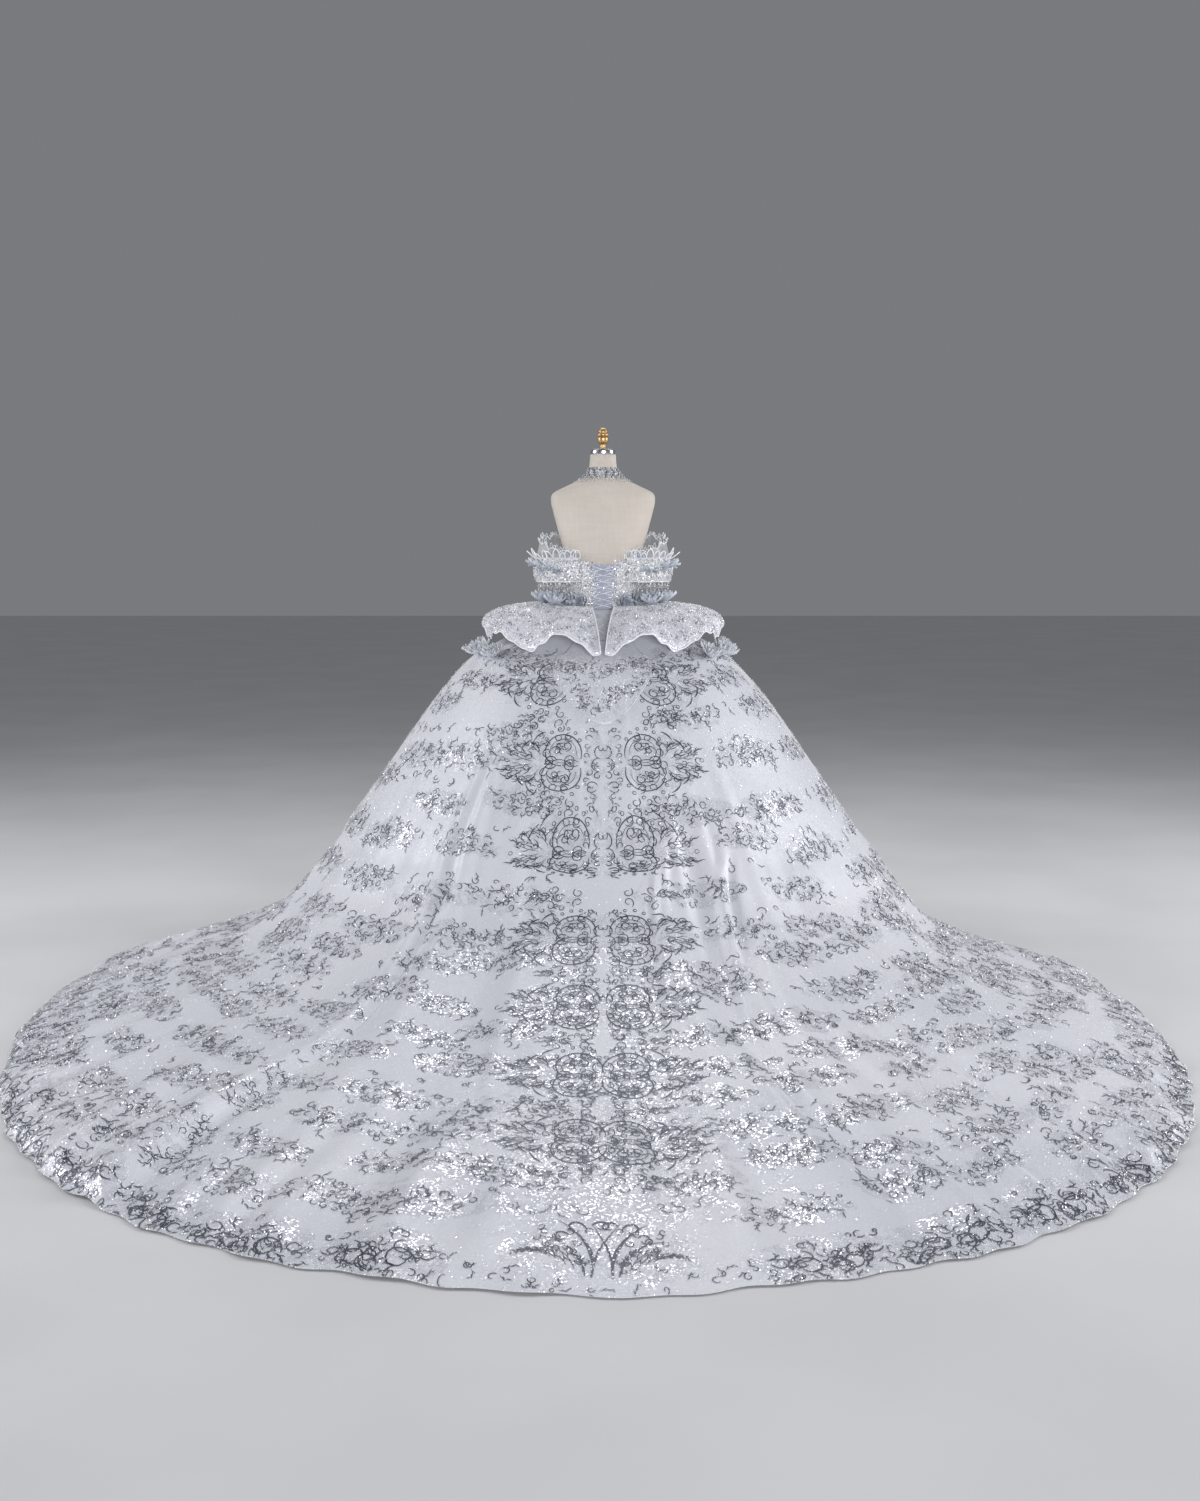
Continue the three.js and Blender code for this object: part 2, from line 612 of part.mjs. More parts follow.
// The peplum: a stiff fluted wing on each side, standing out from the waist seam, and a
// tail with a U-shaped hem that lies over the skirt at the centre back.
const WING = [
  { v: 0, half: 130, back: 99, front: 105, side: 1330, rear: 1330, flute: 0 },
  { v: 0.25, half: 212, back: 165, front: 150, side: 1339, rear: 1324, flute: 3 },
  { v: 0.5, half: 292, back: 235, front: 200, side: 1330, rear: 1302, flute: 11 },
  { v: 0.75, half: 368, back: 305, front: 250, side: 1305, rear: 1264, flute: 23 },
  { v: 0.92, half: 414, back: 350, front: 290, side: 1272, rear: 1224, flute: 32 },
  { v: 1, half: 424, back: 366, front: 300, side: 1244, rear: 1200, flute: 36 },
];
const WING_FRONT_ANGLE = 118;
const WING_SPLIT = [
  { v: 0, x: 46 },
  { v: 0.5, x: 26 },
  { v: 1, x: 7 },
];
const WING_FLUTES = 3.1;
const WING_LINES = [0, 0.25, 0.5, 0.75, 0.92, 1];
const WING_COLUMNS = 36;
const WING_SEAT = 1.1;
const FLUTE_REACH = 0.03;
const SIDE_SOFTNESS = { least: 0.55, gain: 1.2 };

function wingFace(u, v) {
  const along = clamp(u, 0, 1);
  const half = read(WING, 'v', 'half', v);
  const phase = along * WING_FLUTES * 2 * Math.PI;
  const inner = Math.asin(read(WING_SPLIT, 'v', 'x', v) / half) / DEG;
  const angle = lerp(inner, WING_FRONT_ANGLE, along);
  const sine = Math.sin(angle * DEG);
  const cosine = Math.cos(angle * DEG);
  const depth = read(WING, 'v', cosine > 0 ? 'back' : 'front', v);
  const side = read(WING, 'v', 'side', v);
  const height = lerp(side, read(WING, 'v', 'rear', v), cosine > 0 ? cosine * cosine : 0);
  const atSide = Math.min(1, sine * sine * SIDE_SOFTNESS.gain);
  const softer = lerp(1, SIDE_SOFTNESS.least, atSide);
  const flute = -read(WING, 'v', 'flute', v) * Math.cos(phase) * softer;
  const reach = 1 - FLUTE_REACH * v * v * Math.cos(phase);
  const ring = new THREE.Vector3(sine * half * reach, -cosine * depth * reach, height + flute);
  const seam = formPoint(angle, WING[0].side, BODICE_OUT + WING_SEAT);
  return seam.lerp(ring, smoothstep(v, 0, WING_LINES[1]));
}

const TAIL_HALF_WIDTH = 168;
const TAIL_TOP_ROW = 0.72;
const TAIL_HEM_ROW = 3.15;
const TAIL_CURVE_ROWS = 1.05;
const TAIL_TOP_WIDTH = 0.62;
const TAIL_WIDENED_AT = 0.6;
const TAIL_LIFT = 3;

function tailFace(u, v) {
  const hem = TAIL_HEM_ROW - TAIL_CURVE_ROWS * u * u;
  const row = lerp(TAIL_TOP_ROW, hem, v);
  const half = read(SKIRT, 'row', 'left', row);
  const width = TAIL_HALF_WIDTH * lerp(TAIL_TOP_WIDTH, 1, smoothstep(v, 0, TAIL_WIDENED_AT));
  return skirtPoint(Math.asin((u * width) / half) / DEG, row, TAIL_LIFT + PEPLUM_CLOTH);
}

for (const [sideName, side] of [['left', -1], ['right', 1]]) {
  const columns = spread(0, 1, WING_COLUMNS);
  const wing = wall(mirrored(side, wingFace), columns, WING_LINES, PEPLUM_CLOTH, { seams: false });
  addPiece(`peplum_wing_${sideName}`, wing, 'damask');
}
const tail = wall(tailFace, spread(-1, 1, 10), spread(0, 1, 7), PEPLUM_CLOTH, { seams: false });
addPiece('peplum_tail', tail, 'damask');

// Organza flowers: ruffled cups that stand on what they are sewn to. "lean" tips a flower
// up from the face that it stands on, in degrees.
const FLOWER_PETALS = 5;
const FLOWER_LIFT = 0.7;
const CUP_CURVE = 1.05;
const CUP_RINGS = [0.45, 1];
const PETAL_REACH = 0.1;
const PETAL_RISE = 0.16;
const FLOWERS = [
  { name: 'waist_flower_1', host: 'bodice', u: 29, v: 0.76, radius: 25, depth: 20, lean: 24 },
  { name: 'waist_flower_2', host: 'bodice', u: 56, v: 0.76, radius: 29, depth: 22, lean: 26 },
  { name: 'waist_flower_3', host: 'wing', u: 15 / WING_COLUMNS, v: 0.25, radius: 30, depth: 32, lean: -4 },
  { name: 'waist_flower_4', host: 'wing', u: 22 / WING_COLUMNS, v: 0.25, radius: 36, depth: 30, lean: -2 },
  { name: 'hip_flower_1', host: 'skirt', u: 57.54, v: 1.5, radius: 30, depth: 20, lean: 6 },
  { name: 'hip_flower_2', host: 'skirt', u: 72.31, v: 1.5, radius: 33, depth: 22, lean: 6 },
  { name: 'hip_flower_3', host: 'skirt', u: 93.33, v: 1.5, radius: 33, depth: 22, lean: 6 },
];
const FLOWER_HOSTS = {
  bodice: (u, v, side) => bodicePoint(u * side, v, BODICE_OUT),
  wing: (u, v, side) => wingFace(u, v).multiply(new THREE.Vector3(side, 1, 1)),
  skirt: (u, v, side) => skirtPoint(u * side, v),
};

// A ruffled cup with its base at the origin and its axis up.
function flowerGeometry(radius, depth) {
  const columns = FLOWER_PETALS * 3;
  const faces = [0, FLOWER_CLOTH].map((rise) => {
    const points = [new THREE.Vector3(0, 0, rise)];
    CUP_RINGS.forEach((ring) => {
      for (let i = 0; i < columns; i += 1) {
        const angle = (i / columns) * 2 * Math.PI;
        const petal = Math.cos(FLOWER_PETALS * angle);
        const reach = radius * ring * (1 + PETAL_REACH * ring * petal);
        const height = depth * ring ** CUP_CURVE * (1 + PETAL_RISE * ring * petal) + rise;
        points.push(new THREE.Vector3(Math.cos(angle) * reach, Math.sin(angle) * reach, height));
      }
    });
    return points;
  });
  const shift = faces[0].length;
  const triangles = [];
  for (let i = 0; i < columns; i += 1) {
    const next = (i + 1) % columns;
    triangles.push([0, 1 + next, 1 + i], [shift, shift + 1 + i, shift + 1 + next]);
    for (let k = 0; k < CUP_RINGS.length - 1; k += 1) {
      const a = 1 + k * columns + i;
      const b = 1 + k * columns + next;
      triangles.push([a, b, b + columns], [a, b + columns, a + columns]);
      const c = shift + a;
      const d = shift + b;
      triangles.push([c, d + columns, d], [c, c + columns, d + columns]);
    }
    const a = 1 + (CUP_RINGS.length - 1) * columns + i;
    const b = 1 + (CUP_RINGS.length - 1) * columns + next;
    triangles.push([a, b, shift + b], [a, shift + b, shift + a]);
  }
  return outwardFacing(solidGeometry([...faces[0], ...faces[1]], triangles));
}

// Places one flower on its host, on one side of the dress.
function addFlower(flower, sideName, side) {
  const host = FLOWER_HOSTS[flower.host];
  const step = 1e-3;
  const seat = host(flower.u, flower.v, side);
  const alongU = host(flower.u + step, flower.v, side).sub(host(flower.u - step, flower.v, side));
  const alongV = host(flower.u, flower.v + step, side).sub(host(flower.u, flower.v - step, side));
  const normal = alongV.cross(alongU).normalize().multiplyScalar(side);
  const level = new THREE.Vector3(-normal.y, normal.x, 0).normalize();
  const axis = normal.clone().applyAxisAngle(level, -flower.lean * DEG);
  const mesh = addPiece(`${flower.name}_${sideName}`, flowerGeometry(flower.radius, flower.depth), 'flower');
  mesh.position.copy(seat.addScaledVector(normal, FLOWER_LIFT));
  mesh.quaternion.setFromUnitVectors(new THREE.Vector3(0, 0, 1), axis);
}

for (const flower of FLOWERS) {
  addFlower(flower, 'left', -1);
  addFlower(flower, 'right', 1);
}

// The dress form: a smooth torso with no limbs on a pole and a flat round base, with a
// silver cap on its neck and a turned brass finial.
const FORM_COLUMNS = 24;
const FORM_BETWEEN = [1822, 1793, 1415, 1345, 1275];
const NECK_FORWARD = FORM[0].forward;
const NECK_TOP = FORM[0].z;
const BASE_HUB_TOP = 46;
const CAP_HEIGHT = 22;
const CAP_PROFILE = [[0, 0], [44, 0], [45, 3], [45, 13], [41, 18], [14, CAP_HEIGHT], [0, CAP_HEIGHT]];
const FINIAL_PROFILE = [
  [0, 0], [10, 0], [10, 14], [17, 20], [20, 28], [20, 38], [14, 44],
  [21, 46], [21, 50], [15, 53], [17, 60], [14, 68], [6, 73], [0, 74],
];
const BASE_PROFILE = [
  [0, 0], [BASE_RADIUS, 0], [BASE_RADIUS, 8], [BASE_RADIUS - 8, BASE_THICKNESS],
  [44, 16], [30, 34], [26, BASE_HUB_TOP], [0, BASE_HUB_TOP],
];

function torsoGeometry() {
  const heights = [...FORM.map((row) => row.z), ...FORM_BETWEEN].sort((a, b) => b - a);
  const points = [];
  heights.forEach((z) => {
    for (let i = 0; i < FORM_COLUMNS; i += 1) {
      points.push(formPoint((i / FORM_COLUMNS) * 360, z));
    }
  });
  const top = points.length;
  points.push(new THREE.Vector3(0, NECK_FORWARD, NECK_TOP));
  points.push(new THREE.Vector3(0, 0, FORM_BOTTOM));
  const triangles = [];
  const low = (heights.length - 1) * FORM_COLUMNS;
  for (let i = 0; i < FORM_COLUMNS; i += 1) {
    const next = (i + 1) % FORM_COLUMNS;
    triangles.push([top, i, next], [top + 1, low + next, low + i]);
    for (let j = 0; j < heights.length - 1; j += 1) {
      const a = j * FORM_COLUMNS + i;
      const b = j * FORM_COLUMNS + next;
      triangles.push([a, a + FORM_COLUMNS, b + FORM_COLUMNS], [a, b + FORM_COLUMNS, b]);
    }
  }
  return outwardFacing(solidGeometry(points, triangles));
}

function turnedGeometry(profile, segments) {
  const geometry = new THREE.LatheGeometry(profile.map(([r, z]) => new THREE.Vector2(r, z)), segments);
  geometry.rotateX(90 * DEG);
  return outwardFacing(geometry);
}

addPiece('form_torso', torsoGeometry(), 'linen');

const cap = addPiece('form_neck_cap', turnedGeometry(CAP_PROFILE, 16), 'silver');
cap.position.set(0, NECK_FORWARD, NECK_TOP + SEAM_GAP);

const finial = addPiece('form_finial', turnedGeometry(FINIAL_PROFILE, 12), 'brass');
finial.position.set(0, NECK_FORWARD, NECK_TOP + CAP_HEIGHT + 2 * SEAM_GAP);

const base = addPiece('form_base', turnedGeometry(BASE_PROFILE, 24), 'steel');
base.position.set(0, 0, 0);

const POLE_LENGTH = FORM_BOTTOM - BASE_HUB_TOP - 2 * SEAM_GAP;
const poleGeometry = new THREE.CylinderGeometry(POLE_RADIUS, POLE_RADIUS, POLE_LENGTH, 16);
poleGeometry.rotateX(90 * DEG);
const pole = addPiece('form_pole', poleGeometry, 'steel');
pole.position.set(0, 0, BASE_HUB_TOP + SEAM_GAP + POLE_LENGTH / 2);

export default dress;
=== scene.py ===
"""The looks of a wedding dress with a cathedral train, worn on a limbless dress form.

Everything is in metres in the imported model's frame: the floor at z = 0, the form's axis on
the origin, the back of the dress and its train towards -Y. Tables are in millimetres. An
angle round the dress is 0 at the centre back and grows towards +X.
"""

import math

import bpy
import numpy as np
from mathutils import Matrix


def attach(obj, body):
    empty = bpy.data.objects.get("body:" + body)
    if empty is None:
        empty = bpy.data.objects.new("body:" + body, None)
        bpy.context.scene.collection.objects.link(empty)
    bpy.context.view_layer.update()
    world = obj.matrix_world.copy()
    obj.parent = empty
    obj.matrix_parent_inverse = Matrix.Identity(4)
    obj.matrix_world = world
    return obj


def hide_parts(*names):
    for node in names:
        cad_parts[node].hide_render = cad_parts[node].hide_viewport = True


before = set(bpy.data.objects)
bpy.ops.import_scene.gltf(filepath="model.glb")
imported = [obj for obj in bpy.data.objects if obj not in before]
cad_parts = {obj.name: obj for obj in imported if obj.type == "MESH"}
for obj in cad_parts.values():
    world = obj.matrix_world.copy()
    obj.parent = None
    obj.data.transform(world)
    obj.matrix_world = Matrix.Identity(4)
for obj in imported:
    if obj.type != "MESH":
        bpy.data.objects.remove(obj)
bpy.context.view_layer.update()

MM = 0.001
STEP = 1e-3
chance = np.random.default_rng(41)
GOLDEN, SILVER, THIRD = 0.618, 0.414, 0.381  # steps that fill a span evenly when their whole part is dropped


def put(name, data):
    """A new object in the scene."""
    made = bpy.data.objects.new(name, data)
    bpy.context.scene.collection.objects.link(made)
    return made


# The camera

EYE_HEIGHT = 1.55
EYE_DISTANCE = 6.0
PHOTO_WIDTH, PHOTO_HEIGHT = 1200, 1501
FOCAL_PIXELS = 1668
AXIS_COLUMN = 603
HORIZON_ROW = 544

eye = bpy.data.cameras.new("photo_camera")
eye.lens = eye.sensor_width * FOCAL_PIXELS / PHOTO_HEIGHT
eye.shift_x = (PHOTO_WIDTH / 2 - AXIS_COLUMN) / PHOTO_HEIGHT
eye.shift_y = (HORIZON_ROW - PHOTO_HEIGHT / 2) / PHOTO_HEIGHT
eye_object = put("photo_camera", eye)
eye_object.location = (0, -EYE_DISTANCE, EYE_HEIGHT)
eye_object.rotation_euler = (math.pi / 2, 0, 0)
bpy.context.scene.camera = eye_object


# Shader maths

class Wire:
    """A socket in a material, or the bare tree, so that shader maths reads as Python."""

    def __init__(self, tree, socket=None):
        self.tree = tree
        self.socket = socket

    def node(self, kind, settings=None, inputs=None, output=0):
        made = self.tree.nodes.new("ShaderNode" + kind)
        for name, value in (settings or {}).items():
            if name == "stops":
                stops = made.color_ramp.elements
                while len(stops) < len(value):
                    stops.new(0.5)
                for stop, (position, colour) in zip(stops, value):
                    stop.position = position
                    stop.color = (*colour, 1)
            else:
                setattr(made, name, value)
        for name, value in (inputs or {}).items():
            if isinstance(value, Wire):
                self.tree.links.new(value.socket, made.inputs[name])
            else:
                made.inputs[name].default_value = value
        return Wire(self.tree, made.outputs[output])

    def maths(self, operation, *values):
        return self.node("Math", {"operation": operation}, dict(enumerate(values)))

    def __add__(self, other):
        return self.maths("ADD", self, other)

    def __mul__(self, other):
        return self.maths("MULTIPLY", self, other)

    def __sub__(self, other):
        return self.maths("SUBTRACT", self, other)

    def __rsub__(self, other):
        return self.maths("SUBTRACT", other, self)

    __radd__ = __add__
    __rmul__ = __mul__

    def over(self, low, high):
        """How far the value has come from low to high, from 0 to 1."""
        settings = {"interpolation_type": "SMOOTHSTEP"}
        return self.node("MapRange", settings, {"Value": self, "From Min": low, "From Max": high})

    def blend(self, first, second):
        """The first colour where the value is 0 and the second where it is 1."""
        return self.node("Mix", {"data_type": "RGBA"}, {0: self, 6: first, 7: second}, 2)

    def place(self):
        return self.node("TexCoord", output="Object")

    def noise(self, scale, detail=3.0, stretch=None):
        place = self.place()
        if stretch:
            place = self.node("Mapping", None, {"Vector": place, "Scale": stretch})
        return self.node("TexNoise", None, {"Vector": place, "Scale": scale, "Detail": detail})

    def cells(self, scale, output="Color"):
        """Small cells, each of its own random colour, or the distance to a cell's middle."""
        return self.node("TexVoronoi", None, {"Vector": self.place(), "Scale": scale}, output)

    def weave(self, scale):
        """Warp and weft threads, as a height."""
        across = self.node("TexWave", {"bands_direction": "X"}, {"Vector": self.place(), "Scale": scale})
        down = self.node("TexWave", {"bands_direction": "Z"}, {"Vector": self.place(), "Scale": scale})
        return across * 0.5 + down * 0.5

    def worn(self, name):
        """A number that a mesh carries at its points."""
        return self.node("Attribute", {"attribute_name": name}, output="Fac")


def tone(red, green, blue):
    """A screen colour, each part from 0 to 255, as the linear colour of a shader."""
    parts = np.array([red, green, blue]) / 255
    linear = np.where(parts <= 0.04045, parts / 12.92, ((parts + 0.055) / 1.055) ** 2.4)
    return (*linear.tolist(), 1.0)


def finish(name, paint, height=None, depth=0.0, **own):
    """A material. paint(wire) gives the wires of its sockets, height(wire) its relief and
    own the numbers that are the same all over it."""
    material = bpy.data.materials.new(name)
    material.use_nodes = True
    tree = material.node_tree
    surface = tree.nodes["Principled BSDF"]
    wire = Wire(tree)
    for socket, value in own.items():
        surface.inputs[socket.replace("_", " ")].default_value = value
    for socket, value in paint(wire).items():
        tree.links.new(value.socket, surface.inputs[socket])
    if height:
        relief = wire.node("Bump", None, {"Height": height(wire), "Distance": depth})
        tree.links.new(relief.socket, surface.inputs["Normal"])
    return material


# Shapes

def smoothstep(value, low, high):
    along = np.clip((value - low) / (high - low), 0, 1)
    return along * along * (3 - 2 * along)


def lerp(first, second, share):
    return first + (second - first) * share


def signed_power(value, power):
    return np.sign(value) * np.abs(value) ** power


def unit(vectors):
    return vectors / np.maximum(np.linalg.norm(vectors, axis=-1, keepdims=True), 1e-12)


class Table:
    """Columns of numbers, read smoothly at any value of the first column."""

    def __init__(self, names, rows):
        self.names = names.split()
        self.rows = np.array(sorted(rows), float)

    def __call__(self, column, value):
        keys, heights = self.rows[:, 0], self.rows[:, self.names.index(column)]
        last = len(keys) - 1
        before = np.maximum(np.arange(last + 1) - 1, 0)
        after = np.minimum(np.arange(last + 1) + 1, last)
        slopes = (heights[after] - heights[before]) / (keys[after] - keys[before])
        i = np.clip(np.searchsorted(keys, value, side="right") - 1, 0, last - 1)
        span = keys[i + 1] - keys[i]
        s = np.clip((value - keys[i]) / span, 0, 1)
        rise = s * s * (3 - 2 * s)
        leaving = slopes[i] * span * (s**3 - 2 * s**2 + s)
        arriving = slopes[i + 1] * span * (s**3 - s**2)
        return heights[i] * (1 - rise) + heights[i + 1] * rise + leaving + arriving


def grid_faces(columns, rows, closed=False):
    """Quads over points that are numbered down each column in turn."""
    i, j = np.meshgrid(np.arange(columns if closed else columns - 1), np.arange(rows - 1), indexing="ij")
    here, beside = i * rows + j, (i + 1) % columns * rows + j
    return np.stack([here, here + 1, beside + 1, beside], -1).reshape(-1, 4)


def add_piece(name, points, faces, materials, slot, stands_for=(), uses=None, worn=None):
    """One mesh of the dress, which rides on the root body."""
    mesh = bpy.data.meshes.new(name)
    mesh.from_pydata(points.tolist(), [], faces.tolist())
    for material in materials:
        mesh.materials.append(material)
    mesh.polygons.foreach_set("use_smooth", [True] * len(mesh.polygons))
    if uses is not None:
        mesh.polygons.foreach_set("material_index", uses.astype(int).tolist())
    for attribute, values in (worn or {}).items():
        mesh.attributes.new(attribute, "FLOAT", "POINT").data.foreach_set("value", values)
    piece = put(name, mesh)
    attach(piece, "root")
    if stands_for:
        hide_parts(*stands_for)
    return piece


def face_area(points, faces):
    corners = points[faces]
    return np.linalg.norm(
        np.cross(corners[:, 2] - corners[:, 0], corners[:, 3] - corners[:, 1]), axis=1
    ).sum() / 2


def spread_points(surface, us, vs, out=0.0):
    u, v = [part.ravel() for part in np.meshgrid(us, vs, indexing="ij")]
    return surface(u, v, out), u, v


def declare_cloth(points, faces, width, length):
    """Works out the area of a piece's cloth, at most its width times its length; the area is not kept."""
    area = min(face_area(points, faces), width * length)


def run_length(points):
    return float(np.linalg.norm(np.diff(points, axis=0), axis=1).sum())


def cloth_piece(name, surface, us, vs, materials, slot, stands_for=(), closed=False,
                thickness=0.0, worn=None):
    """A shell of cloth over a surface, from its top edge at vs[0] to its hem at vs[-1]. With a
    thickness it has a back of the second material."""
    points, u, v = spread_points(surface, us, vs)
    faces = grid_faces(len(us), len(vs), closed)
    carried = {key: value(u, v) for key, value in (worn or {}).items()}
    piece = add_piece(name, points, faces, materials, slot, stands_for, worn=carried)
    if thickness:
        wall = piece.modifiers.new("cloth", "SOLIDIFY")
        wall.thickness = thickness
        wall.offset = -1
        wall.material_offset = len(materials) - 1
        wall.material_offset_rim = 0
    lattice = points.reshape(len(us), len(vs), 3)
    width = max(run_length(lattice[:, k]) for k in (0, len(vs) // 2, -1))
    length = max(run_length(lattice[k]) for k in (0, len(us) // 2, -1))
    declare_cloth(points, faces, width, length)
    return piece


def directions(surface, u, v, out=0.0):
    """The derivatives of a surface along u and along v, and the unit vector out of it."""
    along_u = (surface(u + STEP, v, out) - surface(u - STEP, v, out)) / (2 * STEP)
    along_v = (surface(u, v + STEP, out) - surface(u, v - STEP, out)) / (2 * STEP)
    return along_u, along_v, unit(np.cross(along_v, along_u))


# The dress form

FORM = Table("z half front back forward", [
    (1872, 46, 46, 44, 12), (1835, 49, 48, 47, 10), (1806, 57, 55, 55, 6), (1780, 86, 62, 66, 2),
    (1757, 134, 68, 75, 0), (1733, 179, 76, 83, 0), (1705, 187, 84, 91, 0), (1665, 179, 95, 99, 0),
    (1600, 162, 110, 104, 0), (1550, 149, 123, 103, 0), (1500, 139, 129, 99, 0),
    (1450, 131, 123, 94, 0), (1380, 121, 104, 87, 0), (1310, 117, 92, 86, 0),
    (1240, 138, 101, 100, 0), (1150, 165, 112, 118, 0), (1070, 172, 114, 122, 0),
    (1040, 170, 112, 120, 0),
])
FORM_SQUARENESS = 2.3
WAIST_HEIGHT = 1316.3


def form_point(angle, z, out=0.0):
    """A point on the form at a height in millimetres, moved out level."""
    sine, cosine = np.sin(np.radians(angle)), np.cos(np.radians(angle))
    power = 2 / FORM_SQUARENESS
    depth = np.where(cosine > 0, FORM("back", z), FORM("front", z)) + out
    x = signed_power(sine, power) * (FORM("half", z) + out)
    y = -signed_power(cosine, power) * depth + FORM("forward", z)
    return np.stack([x, y, z + np.zeros_like(x)], -1) * MM


# The skirt and train

SKIRT = Table("row left right back front left_at right_at side rear fore", [
    (0, 124, 124, 93, 99, 0, 0, 1316, 1316, 1316),
    (1, 392, 388, 280, 250, 0, 0, 1192, 1180, 1190),
    (2, 489, 470, 405, 380, 10, 10, 1130, 1110, 1120),
    (3, 604, 590, 530, 500, 30, 30, 993, 985, 985),
    (4, 752, 735, 665, 640, 60, 60, 783, 780, 775),
    (5, 892, 872, 815, 790, 90, 100, 577, 580, 560),
    (6, 932, 918, 895, 850, 110, 130, 501, 500, 470),
    (7, 1030, 998, 1050, 915, 150, 190, 382, 370, 330),
    (8, 1168, 1104, 1340, 985, 230, 260, 254, 257, 215),
    (9, 1372, 1240, 1660, 1040, 290, 340, 180, 155, 130),
    (10, 1586, 1420, 1970, 1085, 320, 400, 118, 100, 75),
    (11, 1800, 1662, 2275, 1120, 330, 430, 52, 45, 30),
    (12, 1850, 1763, 2535, 1150, 310, 450, 3.4, 3.4, 3.4),
])
HEM_ROW = 12
HOOP_ROW = 6
LEFT_SQUARENESS, RIGHT_SQUARENESS, FRONT_SQUARENESS = 2.2, 2.3, 1.75
TRAIN_POINT_REACH, TRAIN_POINT_SPREAD = 38, 8

# Each fold: angle at its upper and lower end, half width in degrees, height in millimetres
# (a trough is negative), and the rows that it runs between. The first are the solids' own.
LARGE_FOLDS = [
    (-28, -25, 4.5, 22, 3, 10), (-21, -19, 4, -14, 3, 9), (12, 13, 3.5, 14, 4, 9),
    (18, 18, 3.2, -10, 4, 9), (26, 26, 4.5, 18, 4, 10), (-38, -41, 3.6, 26, 8, 12),
    (-46, -49, 3.8, 22, 8, 12), (33, 36, 3.6, 18, 8, 12), (15, 14, 4.5, 20, 8, 11),
    (-9, -11, 5, 18, 9, 12), (50, 54, 5, 16, 7, 12), (-62, -60, 5, 16, 5, 11),
    (66, 70, 5, 16, 5, 11), (-84, -80, 5, 16, 5, 12), (88, 84, 5, 16, 5, 12),
    (108, 106, 6, 24, 3, 12), (-108, -106, 6, 24, 3, 12), (130, 128, 6, 26, 3, 12),
    (-132, -130, 6, 26, 3, 12), (152, 150, 6, 26, 3, 12), (-153, -151, 6, 26, 3, 12),
    (179, 179, 7, 24, 3, 12),
]
